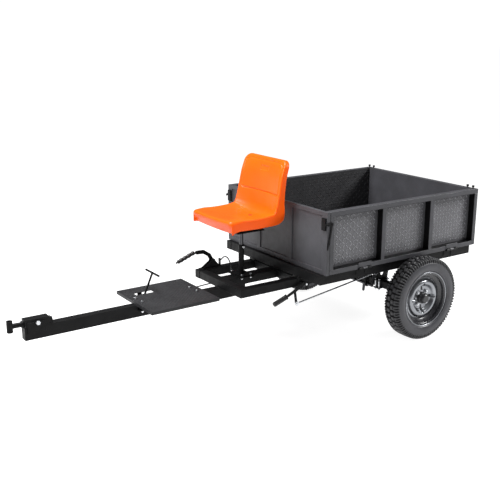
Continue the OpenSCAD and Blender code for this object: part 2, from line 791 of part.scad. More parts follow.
module tyre(side) {
    r = tyre_d / 2;
    w = tyre_w / 2;
    seat = rim_d / 2 - 10.5;
    half = [
        [seat, w - 24], [seat, w - 13], [rim_d / 2 + 1, w - 13], [rim_d / 2 + 6, w - 8], [rim_d / 2 + 20, w - 3],
        [rim_d / 2 + 44, w], [r - 20, w - 3], [r - 9, w - 7], [r - 2, w - 15], [r, w - 24],
        [r, 16], [r - 8, 15], [r - 8, 10], [r, 9]
    ];
    inside = [[r - 17, w - 24], [rim_d / 2 + 44, w - 9], [rim_d / 2 + 10, w - 15]];
    color("#3c3c40") on_wheel(side) rotate_extrude($fn = 96) polygon(concat(
        half, [for (i = [len(half) - 1:-1:0]) [half[i][0], -half[i][1]]],
        [for (i = [len(inside) - 1:-1:0]) [inside[i][0], -inside[i][1]]], inside
    ));
}

module rim(side) {
    r = rim_d / 2;
    w = tyre_w / 2 - 7;
    bead = r - 11;
    well = r - 34;
    color("#55575b") on_wheel(side) difference() {
        union() {
            rotate_extrude($fn = 96) polygon([
                [r, -w], [r, -w + 3.5], [bead, -w + 5], [bead, -30], [well, -20], [well, 14], [bead, 26],
                [bead, w - 5], [r, w - 3.5], [r, w], [r - 3, w], [bead - 4, w - 2], [bead - 4, 27.5],
                [well - 4, 16.5], [well - 4, -22.5], [bead - 4, -32], [bead - 4, -w + 2], [r - 3, -w]
            ]);
            rotate_extrude($fn = 96) polygon([
                [well - 3, 4], [118, 10], [104, 24], [88, 26], [74, 8], [66, 3], [35.5, 3],
                [35.5, 8], [64, 8], [70, 12], [85, 31], [107, 29], [121, 15], [well - 3, 9]
            ]);
        }
        around(4, stud_circle / 2, 45) translate([0, 0, 2]) cylinder(h = 8, r = 6.4);
        around(4, 112) translate([0, 0, 0]) cylinder(h = 40, r = 8);
    }
}

// Hub with its brake drum, and the grease cap on its nose
module hub(side) {
    color("#3a3a3d") on_wheel(side) {
        difference() {
            rotate_extrude($fn = 72) polygon([
                [31.05, -50], [38, -50], [38, -5], [94, -5], [94, -62], [100, -62], [100, 3], [35, 3], [35, 22], [31.05, 22]
            ]);
            around(4, stud_circle / 2, 45) translate([0, 0, -6]) cylinder(h = 10, r = 6.2);
        }
        rotate_extrude($fn = 72) polygon([
            [0, 46], [0, 50], [22, 50], [28, 44], [31, 27], [35, 26], [35, 22], [27, 22], [26, 40], [20, 46]
        ]);
    }
}

module wheel_nuts(side) {
    color("#c9cbce") on_wheel(side) around(4, stud_circle / 2, 45) {
        translate([0, 0, -9]) cylinder(h = 4, r = 9);
        translate([0, 0, -5]) cylinder(h = 27, r = 6);
        translate([0, 0, 8]) hex(10.5, 10);
    }
}

module tyre_left() tyre(-1);
module rim_left() rim(-1);
module hub_left() hub(-1);
module wheel_nuts_left() wheel_nuts(-1);
module tyre_right() tyre(1);
module rim_right() rim(1);
module hub_right() hub(1);
module wheel_nuts_right() wheel_nuts(1);

// ---------------------------------------------------------------- box

box_member_x = [bx, bx + 390, tip_x, bx + box_l - 22 - 25];

module box_rails() {
    x0 = bx - 25;
    x1 = bx + box_l - 22;
    color("#1c1c1e") both_sides() {
        tube_x(x0, x1, box_rail_y, subframe_z + box_rail_h / 2, box_rail_w, box_rail_h, wall);
        translate([x0 - 2, box_rail_y - box_rail_w / 2, subframe_z]) cube([2, box_rail_w, box_rail_h]);
    }
}

module box_cross_members() {
    half = box_rail_y - box_rail_w / 2 - weld;
    color("#1c1c1e") {
        for (x = box_member_x) if (x != tip_x)
            tube_y(-half, half, x, subframe_z + box_rail_h / 2, 50, box_rail_h, wall);
        difference() {
            union() {
                translate([tip_x - 25, -half, subframe_z]) cube([50, 2 * half, box_rail_h]);
                for (s = [-1, 1]) plate_y(s * rail_y - 10, 20) {
                    translate([tip_x, tip_z]) circle(8);
                    translate([tip_x - 8, tip_z]) square([16, subframe_z - tip_z + 1]);
                }
            }
            translate([tip_x - 21, -half - 1, subframe_z + 4]) cube([42, 2 * half + 2, box_rail_h - 8]);
            pin_y(-rail_y - 20, rail_y + 20, tip_x, tip_z, 5 + fit);
        }
    }
}

// Ears and pins of the tipping hinge on the chassis rails
module tip_hinge_ears() {
    color("#1c1c1e") for (s = [-1, 1]) {
        for (k = [-1, 1]) difference() {
            plate_y(s * rail_y + k * 14 - 3, 6) {
                translate([tip_x, tip_z]) circle(9);
                translate([tip_x - 9, deck_z]) square([18, tip_z - deck_z]);
            }
            pin_y(s * rail_y - 30, s * rail_y + 30, tip_x, tip_z, 5);
        }
        pin_y(s * rail_y - 20, s * rail_y + 20, tip_x, tip_z, 5);
    }
}

module rest_pads() {
    color("#161618") for (s = [-1, 1], x = [bx - 5, bx + 390 - 25])
        translate([x, s * rail_y - tube / 2, deck_z]) cube([50, tube, rest_gap - gap]);
}

module box_floor() {
    x0 = bx + head_t + gap;
    x1 = tail_x - tail_t - 2;
    half = side_y - side_t - 3;
    color("#4a4a4d") translate([x0, -half, floor_z]) cube([x1 - x0, 2 * half, floor_t]);
}

// Fixed front panel: end posts, top bar, foot bar and a pressed sheet with two ribs
module headboard() {
    post = side_t - 2;
    rib = 40;
    color("#5a5a5c") {
        translate([bx + 6, -side_y + post, floor_z]) cube([3, 2 * (side_y - post), box_h]);
        for (s = [-1, 1]) translate([bx, s * (side_y - post / 2) - post / 2, floor_z]) cube([head_t, post, box_h]);
        translate([bx, -side_y + post, top_z - 24]) cube([head_t, 2 * (side_y - post), 24]);
        translate([bx, -side_y + post, floor_z]) cube([head_t, 2 * (side_y - post), bar]);
        for (s = [-1, 1]) translate([bx, s * 165 - rib / 2, floor_z]) cube([6, rib, box_h]);
    }
}

// Hinge halves. Local frame: pin along X at the origin, panel face at y = hinge_out, base at y = face.
module hinge_leaf() {
    difference() {
        union() {
            translate([-hinge_w / 2, 3, 8]) cube([hinge_w, 3, 27]);
            translate([-hinge_w / 6, 3, -3]) cube([hinge_w / 3, 3, 12]);
            pin_x(-hinge_w / 6, hinge_w / 6, 0, 0, hinge_r);
        }
        pin_x(-hinge_w, hinge_w, 0, 0, hinge_pin_r + fit);
    }
}
module hinge_base(face) {
    for (s = [-1, 1]) {
        x0 = s > 0 ? hinge_w / 6 + 0.5 : -hinge_w / 2;
        w = hinge_w / 3 - 0.5;
        difference() {
            union() {
                translate([x0, 0, -8.5]) cube([w, face, 4.3]);
                translate([x0, face - 3, -45]) cube([w, 3, 40]);
                pin_x(x0, x0 + w, 0, 0, hinge_r);
            }
            translate([x0 - 1, face, -60]) cube([w + 2, 10, 80]);
            pin_x(x0 - 1, x0 + w + 1, 0, 0, hinge_pin_r);
        }
    }
    pin_x(-hinge_w / 2 - 2, hinge_w / 2 + 2, 0, 0, hinge_pin_r);
}
// Places for the side hinges on the left side, and for the tailgate hinges
module at_side_hinges() for (x = side_hinges) translate([x, -hinge_y, hinge_z]) children();
module at_tail_hinges() for (y = tail_hinges) translate([tail_hinge_x, y, hinge_z]) rotate([0, 0, 90]) children();

module box_hinges() {
    color("#2a2a2c") {
        both_sides() at_side_hinges() hinge_base(hinge_face);
        at_tail_hinges() hinge_base(tail_hinge_x - (bx + box_l - 22));
    }
}

// Catch blocks on the headboard with headless keeper pins
module latch_keepers() {
    color("#2a2a2c") both_sides() {
        translate([bx - 10, side_y - 42, latch_z - 36]) cube([10, 34, 71]);
        pin_y(side_y - 9, side_y + 8, keeper_x, latch_z, 4);
    }
}

// Welded panel frame. Local frame: length along X, outer face at y = 0, height along Z.
module panel_frame(length, depth, height, n) {
    pitch = (length - bar) / n;
    for (z = [0, height - bar]) tube_x(0, length, depth / 2, z + bar / 2, depth, bar, 3);
    for (i = [0:n]) translate([i * pitch, 0, bar + weld]) difference() {
        cube([bar, depth, height - 2 * bar - 2 * weld]);
        translate([3, 3, -1]) cube([bar - 6, depth - 6, height]);
    }
}

module left_side() translate([side_x0, -side_y, panel_z]) children();
module side_frame() {
    depth = side_t - sheet;
    color("#5a5a5c") {
        difference() {
            left_side() panel_frame(side_len, depth, top_z - panel_z, fields);
            pin_y(-side_y + depth - 10, -side_y + side_t, bolt_x, bolt_z, bolt_rad + 1);
        }
        at_side_hinges() hinge_leaf();
    }
}
module side_sheet() {
    color("#4a4a4d") difference() {
        left_side() translate([0, side_t - sheet, 0]) cube([side_len, sheet, top_z - panel_z]);
        pin_y(-side_y, -side_y + side_t + 5, bolt_x, bolt_z, bolt_rad + 1);
    }
}

// Latch pivot and the round knob at the rear top corner
module side_fittings() {
    color("#2a2a2c") {
        pin_y(-side_y - latch_out - latch_t - 4, -side_y, latch_x, latch_z, latch_pin_r);
        pin_z(top_z, top_z + 8, bolt_x, -side_y + side_t / 2 + 2, 4);
        pin_z(top_z + 8, top_z + 20, bolt_x, -side_y + side_t / 2 + 2, 8);
    }
}

module side_left_frame() side_frame();
module side_left_sheet() side_sheet();
module side_left_fittings() side_fittings();
module side_right_frame() mirror([0, 1, 0]) side_frame();
module side_right_sheet() mirror([0, 1, 0]) side_sheet();
module side_right_fittings() mirror([0, 1, 0]) side_fittings();

module at_tailgate() translate([tail_x, -tail_half, panel_z]) rotate([0, 0, 90]) children();
module tailgate_frame() {
    depth = tail_t - sheet;
    color("#5a5a5c") {
        difference() {
            union() {
                at_tailgate() panel_frame(2 * tail_half, depth, top_z - panel_z, fields);
                for (s = [-1, 1]) translate([tail_x - depth, s * (tail_half - 30) - 30, top_z - bar])
                    cube([depth, 60, bar]);
            }
            for (s = [-1, 1]) {
                pin_y(s * (tail_half - 30) - 31, s * (tail_half - 30) + 31, bolt_x, bolt_z, bolt_rad + 0.1);
                translate([bolt_x - 4.5, s * (tail_half - 14) - 14.5, bolt_z]) cube([9, 29, bar]);
            }
        }
    }
    color("#2a2a2c") at_tail_hinges() hinge_leaf();
}
module tailgate_sheet() {
    color("#6a6a6c") translate([tail_x - tail_t, -tail_half, panel_z]) cube([sheet, 2 * tail_half, top_z - panel_z]);
}

// Bow shaped latch lever on the front end of a side, hooked over the keeper from above
module latch() {
    y0 = -side_y - latch_out - latch_t;
    p = [latch_x, latch_z];
    k = [keeper_x, latch_z];
    color("#2a2a2c") difference() {
        plate_y(y0, latch_t) difference() {
            union() {
                translate(p) circle(11);
                link(p, k, 10);
                link(p, p + [-3, -34], 6);
                link(p + [-3, -34], p + [-8, -62], 5);
                link(p + [-8, -62], p + [-16, -104], 5);
                link(p + [-16, -104], p + [-27, -144], 5);
            }
            translate(k) circle(4.6);
            translate([k[0] - 4.6, k[1] - 12]) square([16, 12]);
        }
        pin_y(y0 - 1, y0 + latch_t + 1, p[0], p[1], latch_pin_r + fit);
    }
}
module latch_left() latch();
module latch_right() mirror([0, 1, 0]) latch();

// Tailgate bolt with its thumb knob
module slide_bolt(s) {
    y1 = tail_half - 0.5;
    color("#2a2a2c") mirror([0, s < 0 ? 1 : 0, 0]) {
        pin_y(y1 - 34, y1, bolt_x, bolt_z, bolt_rad);
        pin_z(bolt_z, top_z + 9, bolt_x, tail_half - knob_in, 4);
        pin_z(top_z + 8, top_z + 20, bolt_x, tail_half - knob_in, 8);
    }
}
module slide_bolt_left() slide_bolt(-1);
module slide_bolt_right() slide_bolt(1);

drawbar();
hitch_housing();
hitch_coupler();
side_rails();
cross_members();
seat_beam();
footplate();
footplate_brackets();
frame_bolts();
axle_beam();
axle_hangers();
brake_backplates();
brake_shoes();
hub_bearings();
tip_hinge_ears();
rest_pads();
seat_post_outer();
seat_post_inner();
seat_mount_plate();
seat_shell();
pedal_arm();
pedal_wire();
brake_cables();
brake_lever_bracket();
brake_lever();
brake_lever_grip();
brake_rod();
brake_shaft_brackets();
brake_shaft();
parking_lever_bracket();
parking_lever();
parking_grip();
parking_button();
tyre_left();
rim_left();
hub_left();
wheel_nuts_left();
tyre_right();
rim_right();
hub_right();
wheel_nuts_right();
box_rails();
box_cross_members();
box_floor();
headboard();
box_hinges();
latch_keepers();
side_left_frame();
side_left_sheet();
side_left_fittings();
side_right_frame();
side_right_sheet();
side_right_fittings();
tailgate_frame();
tailgate_sheet();
latch_left();
latch_right();
slide_bolt_left();
slide_bolt_right();
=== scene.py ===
# %% [markdown]
# # Ride-on tipping trailer for a walking tractor
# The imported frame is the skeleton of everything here: every named steel part comes from it, in metres,
# with +X towards the tailgate, +Z up and -Y on the driver's left. This lesson adds what a drawing of
# solids leaves out: pressed and moulded surfaces, tread, chequer lugs, welds, and the finishes.

# %% Load the frame
import json
import math

import bmesh
import bpy
import numpy as np
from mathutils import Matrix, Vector


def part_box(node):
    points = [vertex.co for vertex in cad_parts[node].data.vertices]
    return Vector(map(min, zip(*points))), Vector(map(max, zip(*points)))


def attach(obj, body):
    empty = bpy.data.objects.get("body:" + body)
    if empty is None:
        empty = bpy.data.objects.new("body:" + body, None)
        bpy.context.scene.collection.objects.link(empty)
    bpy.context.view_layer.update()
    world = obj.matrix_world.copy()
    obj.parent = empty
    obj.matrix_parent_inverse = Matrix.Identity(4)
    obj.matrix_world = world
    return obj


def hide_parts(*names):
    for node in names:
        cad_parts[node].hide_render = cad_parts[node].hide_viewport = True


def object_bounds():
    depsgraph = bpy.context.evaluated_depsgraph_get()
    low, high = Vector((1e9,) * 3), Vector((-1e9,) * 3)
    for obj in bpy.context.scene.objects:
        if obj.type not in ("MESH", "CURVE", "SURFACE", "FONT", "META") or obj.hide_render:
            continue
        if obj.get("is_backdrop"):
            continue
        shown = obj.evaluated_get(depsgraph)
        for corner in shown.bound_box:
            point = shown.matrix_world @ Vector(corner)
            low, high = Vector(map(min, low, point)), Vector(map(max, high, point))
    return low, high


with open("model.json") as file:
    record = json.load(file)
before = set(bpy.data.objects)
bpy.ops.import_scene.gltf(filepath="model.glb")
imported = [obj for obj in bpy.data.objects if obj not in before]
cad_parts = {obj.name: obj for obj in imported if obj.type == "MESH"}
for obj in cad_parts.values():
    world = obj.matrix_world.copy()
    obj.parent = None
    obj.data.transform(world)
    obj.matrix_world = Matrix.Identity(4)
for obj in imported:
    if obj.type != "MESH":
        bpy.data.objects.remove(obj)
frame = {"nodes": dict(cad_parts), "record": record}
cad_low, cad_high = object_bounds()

MM = 0.001

# %% [markdown]
# ## Camera
# A long lens from the front left corner, a little above the load. It is made first, so that every later
# step is judged through it. Its angle is given as the direction it looks in.

# %% Camera
camera_data = bpy.data.cameras.new("camera")
camera_data.lens = 58.35
camera_data.sensor_width = 36.0
camera = bpy.data.objects.new("camera", camera_data)
camera.location = (-2.63375, -3.932, 1.885)
camera.rotation_mode = "QUATERNION"
camera.rotation_quaternion = Vector((0.5416, 0.7970, -0.2672)).to_track_quat("-Z", "Y")
bpy.context.scene.collection.objects.link(camera)
bpy.context.scene.camera = camera

# %% [markdown]
# ## Floor and light
# A product is lit by large soft boxes, so that dark paint shows long soft reflections and no hard
# shadows. The sky is a studio: pale above, darker round the sides, and white to the camera itself.
# The plain colour transform keeps the paints at the values that they are mixed to.

# %% Colour helper
def linear(hex_colour):
    """An sRGB hex colour as linear red, green, blue and alpha."""
    parts = [int(hex_colour[i:i + 2], 16) / 255 for i in (1, 3, 5)]
    return [p / 12.92 if p <= 0.04045 else ((p + 0.055) / 1.055) ** 2.4 for p in parts] + [1.0]


# %% One function that adds a node
def add(tree, kind, settings=None, inputs=None):
    """Adds a node. settings are its own properties; inputs are values, or the outputs that feed it."""
    node = tree.nodes.new("ShaderNode" + kind)
    for name, value in (settings or {}).items():
        if name == "stops":
            ramp = node.color_ramp
            ramp.elements[0].position, ramp.elements[0].color = value[0]
            ramp.elements[1].position, ramp.elements[1].color = value[-1]
            for position, colour in value[1:-1]:
                ramp.elements.new(position).color = colour
        else:
            setattr(node, name, value)
    for name, value in (inputs or {}).items():
        if isinstance(value, bpy.types.NodeSocket):
            tree.links.new(value, node.inputs[name])
        else:
            node.inputs[name].default_value = value
    return node


# %% Studio
bpy.context.scene.view_settings.view_transform = "Standard"
studio = bpy.data.worlds.new("studio")
studio.use_nodes = True
tree = studio.node_tree
tree.nodes.clear()
height = add(tree, "SeparateXYZ", inputs={"Vector": add(tree, "TexCoord").outputs["Generated"]})
walls = add(tree, "ValToRGB", {"stops": [
    (0.30, linear("#7c7c7c")), (0.50, linear("#565658")), (0.66, linear("#8c8c8e")), (1.0, linear("#ffffff")),
]}, {"Fac": add(tree, "MapRange", inputs={
    "Value": height.outputs["Z"], "From Min": -1.0, "From Max": 1.0}).outputs["Result"]})
rays = add(tree, "LightPath")
lit = add(tree, "Background", inputs={"Color": walls.outputs["Color"], "Strength": 0.5})
seen = add(tree, "Background", inputs={"Color": (1.0, 1.0, 1.0, 1.0), "Strength": 1.05})
chosen = add(tree, "MixShader", inputs={
    "Fac": rays.outputs["Is Camera Ray"], 1: lit.outputs["Background"], 2: seen.outputs["Background"]})
add(tree, "OutputWorld", inputs={"Surface": chosen.outputs["Shader"]})
bpy.context.scene.world = studio


def soft_box(name, place, target, size, watts):
    """A rectangular light that faces its target."""
    light = bpy.data.lights.new(name, "AREA")
    light.shape, light.size, light.size_y, light.energy = "RECTANGLE", size[0], size[1], watts
    lamp = bpy.data.objects.new(name, light)
    lamp.location = place
    lamp.rotation_mode = "QUATERNION"
    lamp.rotation_quaternion = (Vector(target) - Vector(place)).to_track_quat("-Z", "Y")
    bpy.context.scene.collection.objects.link(lamp)


soft_box("key_box", (-4.2, 0.7, 3.4), (0.0, 0.0, 0.6), (2.0, 1.6), 215.0)
soft_box("side_box", (3.6, -1.9, 2.7), (0.8, -0.6, 0.5), (1.2, 0.9), 190.0)
soft_box("top_box", (-1.1, 0.4, 3.9), (-0.1, 0.0, 0.7), (2.0, 1.6), 230.0)

# %% Materials: the common start
def surface(name, colour, roughness, metallic=0.0, ior=1.5):
    """A node material with its shader, and the object's own coordinates in metres for its patterns."""
    material = bpy.data.materials.new(name)
    material.use_nodes = True
    tree = material.node_tree
    tree.nodes.clear()
    shader = add(tree, "BsdfPrincipled", inputs={
        "Base Color": linear(colour), "Roughness": roughness, "Metallic": metallic, "IOR": ior})
    add(tree, "OutputMaterial", inputs={"Surface": shader.outputs["BSDF"]})
    return material, tree, shader, add(tree, "TexCoord").outputs["Object"]


def per_metre(size_mm):
    """The scale of a pattern in object coordinates whose repeat is size_mm."""
    return 1.0 / (size_mm * MM)


# %% [markdown]
# The floor is an opal acrylic sheet lit from beneath, so that the machine stands on plain white. It
# keeps the ground pale to the horizon, softens the shadow, and lights the underside a little.

# %% Floor
floor_sheet, tree, shader, where = surface("backlit_opal_acrylic", "#9a9a9a", 0.9)
shader.inputs["Specular IOR Level"].default_value = 0.1
grain = add(tree, "TexNoise", inputs={"Vector": where, "Scale": per_metre(900.0), "Detail": 2.0})
tone = add(tree, "ValToRGB", {"stops": [(0.3, linear("#979797")), (0.7, linear("#9d9d9d"))]},
           {"Fac": grain.outputs["Fac"]})
tree.links.new(tone.outputs["Color"], shader.inputs["Base Color"])
shader.inputs["Emission Color"].default_value = linear("#ffffff")
shader.inputs["Emission Strength"].default_value = 0.9
FLOOR_HALF, FLOOR_TOP = 60.0, -0.001
floor_corners = [(x * FLOOR_HALF, y * FLOOR_HALF, FLOOR_TOP) for x, y in ((-1, -1), (1, -1), (1, 1), (-1, 1))]
floor_mesh = bpy.data.meshes.new("floor")
floor_mesh.from_pydata(floor_corners, [], [(0, 1, 2, 3)])
floor_mesh.materials.append(floor_sheet)
floor = bpy.data.objects.new("floor", floor_mesh)
bpy.context.scene.collection.objects.link(floor)
floor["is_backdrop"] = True
print("floor sheet", 2 * FLOOR_HALF, "m square")

# %% [markdown]
# ## Finishes
# The frame is mild steel with black powder coat: a thick sprayed polyester layer that melts to a fine
# orange peel of a few millimetres, satin, and slightly uneven in gloss where it was handled.
# A patchy tone, an uneven roughness and a shallow peel bump give that. The sheets of the box are coated
# dark grey. The outer lugs are paler and glossier where loads rub their tops, and their paler colour is also
# a painted highlight. The outside of each side sheet is painted paler than its inside, as painted light,
# and the inner faces and the floor are painted darker and duller, as painted shade.

# %% Powder coats
def powder_coat(name, dark, pale, low_gloss, high_gloss, peel_mm, peel_depth, mirror=0.5):
    """Sprayed and baked paint: colour patches of a hand's width, uneven gloss, orange peel."""
    material, tree, shader, where = surface(name, dark, 0.4)
    shader.inputs["Specular IOR Level"].default_value = mirror
    patches = add(tree, "TexNoise", inputs={
        "Vector": where, "Scale": per_metre(140.0), "Detail": 5.0, "Roughness": 0.62})
    tone = add(tree, "ValToRGB", {"stops": [(0.32, linear(dark)), (0.72, linear(pale))]},
               {"Fac": patches.outputs["Fac"]})
    wear = add(tree, "TexNoise", inputs={"Vector": where, "Scale": per_metre(32.0), "Detail": 7.0})
    gloss = add(tree, "MapRange", inputs={
        "Value": wear.outputs["Fac"], "From Min": 0.3, "From Max": 0.7,
        "To Min": low_gloss, "To Max": high_gloss})
    peel = add(tree, "TexNoise", inputs={"Vector": where, "Scale": per_metre(peel_mm), "Detail": 2.0})
    bump = add(tree, "Bump", inputs={
        "Height": peel.outputs["Fac"], "Strength": 0.35, "Distance": peel_depth * MM})
    tree.links.new(tone.outputs["Color"], shader.inputs["Base Color"])
    tree.links.new(gloss.outputs["Result"], shader.inputs["Roughness"])
    tree.links.new(bump.outputs["Normal"], shader.inputs["Normal"])
    return material


frame_paint = powder_coat("black_powder_coat", "#080809", "#0f0f10", 0.40, 0.56, 4.0, 0.25, 0.14)
panel_paint = powder_coat("grey_powder_coat", "#353538", "#3f3f43", 0.36, 0.5, 5.0, 0.25, 0.3)
# The outer plate paint is paler than the inner one: painted light on the outside of the same sheet.
lit_plate_paint = powder_coat("painted_light_plate_coat", "#48484b", "#565659", 0.36, 0.5, 5.0, 0.3, 0.5)
# Paler lugs: rubbed wear on their tops, and also a painted highlight on the lug crests.
rubbed_and_lit_lug_paint = powder_coat("rubbed_and_highlight_powder_coat", "#69696d", "#808085", 0.28, 0.42, 3.0, 0.15, 0.6)
# Darker paint for the inner faces, inner lugs and the box floor: painted shade.
shaded_inner_paint = powder_coat("shaded_powder_coat", "#1f1f21", "#2a2a2c", 0.42, 0.6, 5.0, 0.3, 0.3)
tread_paint = powder_coat("footplate_powder_coat", "#18181a", "#232325", 0.4, 0.58, 5.0, 0.3, 0.3)

# %% [markdown]
# Bright parts are zinc plated: a grey metal with small crystalline patches. Oiled dark steel is used for
# the sliding post and the brake shaft, and machined iron under thin paint for the drums.

# %% Metals
def bare_metal(name, dark, pale, roughness, patch_mm):
    """Plated or oiled steel: a metal whose tone and gloss change in patches of patch_mm."""
    material, tree, shader, where = surface(name, pale, roughness, metallic=1.0)
    crystals = add(tree, "TexVoronoi", inputs={"Vector": where, "Scale": per_metre(patch_mm)})
    smear = add(tree, "TexNoise", inputs={
        "Vector": where, "Scale": per_metre(4 * patch_mm), "Detail": 6.0})
    both = add(tree, "Math", {"operation": "MULTIPLY_ADD"},
               {0: crystals.outputs["Distance"], 1: 0.35, 2: smear.outputs["Fac"]})
    tone = add(tree, "ValToRGB", {"stops": [(0.35, linear(dark)), (0.8, linear(pale))]},
               {"Fac": both.outputs[0]})
    gloss = add(tree, "MapRange", inputs={
        "Value": smear.outputs["Fac"], "From Min": 0.3, "From Max": 0.7,
        "To Min": roughness - 0.06, "To Max": roughness + 0.12})
    tree.links.new(tone.outputs["Color"], shader.inputs["Base Color"])
    tree.links.new(gloss.outputs["Result"], shader.inputs["Roughness"])
    return material


zinc = bare_metal("zinc_plated_steel", "#a9acb0", "#d2d4d7", 0.28, 5.0)
oiled_steel = bare_metal("oiled_dark_steel", "#3c3c3f", "#58585b", 0.34, 8.0)
rim_silver = bare_metal("silver_rim_lacquer", "#77797d", "#8e9094", 0.27, 40.0)
# The barrel is dark lacquer, made darker as a painted dark reflection deep inside the barrel.
rim_barrel_shade_paint = powder_coat("dark_rim_lacquer_and_painted_reflection", "#242427", "#303034", 0.2, 0.32, 6.0, 0.1)
drum_iron = powder_coat("painted_cast_iron", "#1e1e20", "#2c2c2f", 0.34, 0.52, 3.0, 0.4)
brake_lining = powder_coat("pressed_brake_lining", "#5d4f43", "#776655", 0.8, 0.95, 1.5, 0.3)

# %% [markdown]
# Tyre rubber is carbon black compound, matt, with a grey bloom, and near black in the grooves as painted
# shade. Handle rubber is blacker and closer to satin. Both have the fine pitting of a spark-eroded mould.

# %% Rubbers and plain plastics
def moulded(name, dark, pale, roughness, bloom_mm, pit_mm, ior=1.5):
    """Moulded rubber or plastic: a cloudy bloom over fine mould pitting."""
    material, tree, shader, where = surface(name, dark, roughness, ior=ior)
    bloom = add(tree, "TexNoise", inputs={
        "Vector": where, "Scale": per_metre(bloom_mm), "Detail": 7.0, "Roughness": 0.65})
    tone = add(tree, "ValToRGB", {"stops": [(0.32, linear(dark)), (0.7, linear(pale))]},
               {"Fac": bloom.outputs["Fac"]})
    pits = add(tree, "TexNoise", inputs={"Vector": where, "Scale": per_metre(pit_mm), "Detail": 3.0})
    bump = add(tree, "Bump", inputs={"Height": pits.outputs["Fac"], "Strength": 0.3, "Distance": 0.3 * MM})
    tree.links.new(tone.outputs["Color"], shader.inputs["Base Color"])
    tree.links.new(bump.outputs["Normal"], shader.inputs["Normal"])
    return material


tyre_rubber = moulded("carbon_black_tyre_rubber", "#242428", "#323238", 0.44, 70.0, 2.5, ior=1.52)
# A darker copy of the tyre rubber: painted shade on the tread.
shaded_tread_rubber = moulded("tread_lug_rubber_painted_shade", "#1c1c1e", "#2a2a2d", 0.5, 50.0, 2.5, ior=1.52)
# Near-black groove rubber: painted shade between the lugs.
groove_shade_rubber = moulded("tread_groove_painted_shade", "#060607", "#0c0c0d", 0.9, 30.0, 2.5, ior=1.3)
handle_rubber = moulded("black_handle_rubber", "#0f0f10", "#19191a", 0.45, 30.0, 1.5, ior=1.52)
cable_cover = moulded("extruded_pvc_cable_cover", "#131314", "#1c1c1d", 0.4, 40.0, 2.0, ior=1.53)
button_plastic = moulded("black_nylon_button", "#1b1b1c", "#262627", 0.35, 10.0, 1.0, ior=1.53)

# %% [markdown]
# The seat is injection moulded polypropylene, dyed through. It is glossy, with a little light carried
# under the skin, faint flow clouds, and fine scuffs that only show in the reflections.

# %% Seat plastic
seat_plastic, tree, shader, where = surface("orange_polypropylene", "#e55203", 0.36, ior=1.49)
shader.inputs["Specular IOR Level"].default_value = 0.14
clouds = add(tree, "TexNoise", inputs={"Vector": where, "Scale": per_metre(160.0), "Detail": 3.0})
tone = add(tree, "ValToRGB", {"stops": [(0.3, linear("#e24f02")), (0.7, linear("#e85604"))]},
           {"Fac": clouds.outputs["Fac"]})
scuffs = add(tree, "TexNoise", inputs={
    "Vector": where, "Scale": per_metre(24.0), "Detail": 8.0, "Distortion": 1.2})
gloss = add(tree, "MapRange", inputs={
    "Value": scuffs.outputs["Fac"], "From Min": 0.35, "From Max": 0.75, "To Min": 0.32, "To Max": 0.46})
skin = add(tree, "TexNoise", inputs={"Vector": where, "Scale": per_metre(1.6), "Detail": 2.0})
bump = add(tree, "Bump", inputs={"Height": skin.outputs["Fac"], "Strength": 0.12, "Distance": 0.1 * MM})
tree.links.new(tone.outputs["Color"], shader.inputs["Base Color"])
tree.links.new(gloss.outputs["Result"], shader.inputs["Roughness"])
tree.links.new(bump.outputs["Normal"], shader.inputs["Normal"])
shader.inputs["Coat Weight"].default_value = 0.16
shader.inputs["Coat Roughness"].default_value = 0.3

# %% The finish of each slot
finishes = {
    "black_frame_paint": frame_paint, "grey_panel_paint": panel_paint, "chequer_sheet": shaded_inner_paint,
    "footplate_sheet": tread_paint, "dark_steel": oiled_steel, "zinc_steel": zinc, "rim_metal": rim_barrel_shade_paint,
    "drum_iron": drum_iron, "tyre_rubber": tyre_rubber, "black_rubber": handle_rubber,
    "seat_plastic": seat_plastic, "cable_cover": cable_cover, "brake_lining": brake_lining,
    "button_plastic": button_plastic,
}
slot_of = {p["node"]: p["material_slot"] for p in frame["record"]["subparts"]}
for name, node in frame["nodes"].items():
    for place in node.material_slots:
        place.material = finishes[slot_of[name]]
print("finished", len(slot_of), "nodes in", len(finishes), "finishes")

# %% [markdown]
# ## Broken edges
# No steel edge is sharp: tube has rolled corners and plate is deburred before it is coated, and that
# small round is what catches the light. A bevel modifier on the frame's own parts does this without
# touching their meshes. Thin plate gets a smaller round than tube.

# %% Break the edges of the steel parts
MERGE_MM = 0.02
FLAT_DEGREES, SHARP_DEGREES = 0.6, 38


def break_edges(node_name, round_mm):
    """Joins the imported triangles and rounds every sharp edge by round_mm."""
    node = frame["nodes"][node_name]
    weld = node.modifiers.new("join", "WELD")
    weld.merge_threshold = MERGE_MM * MM
    flat = node.modifiers.new("flat", "DECIMATE")
    flat.decimate_type, flat.angle_limit = "DISSOLVE", math.radians(FLAT_DEGREES)
    bevel = node.modifiers.new("edges", "BEVEL")
    bevel.width, bevel.segments = round_mm * MM, 2
    bevel.limit_method, bevel.angle_limit = "ANGLE", math.radians(SHARP_DEGREES)
    bevel.use_clamp_overlap = False
    even = node.modifiers.new("shading", "WEIGHTED_NORMAL")
    even.weight, even.keep_sharp = 90, False


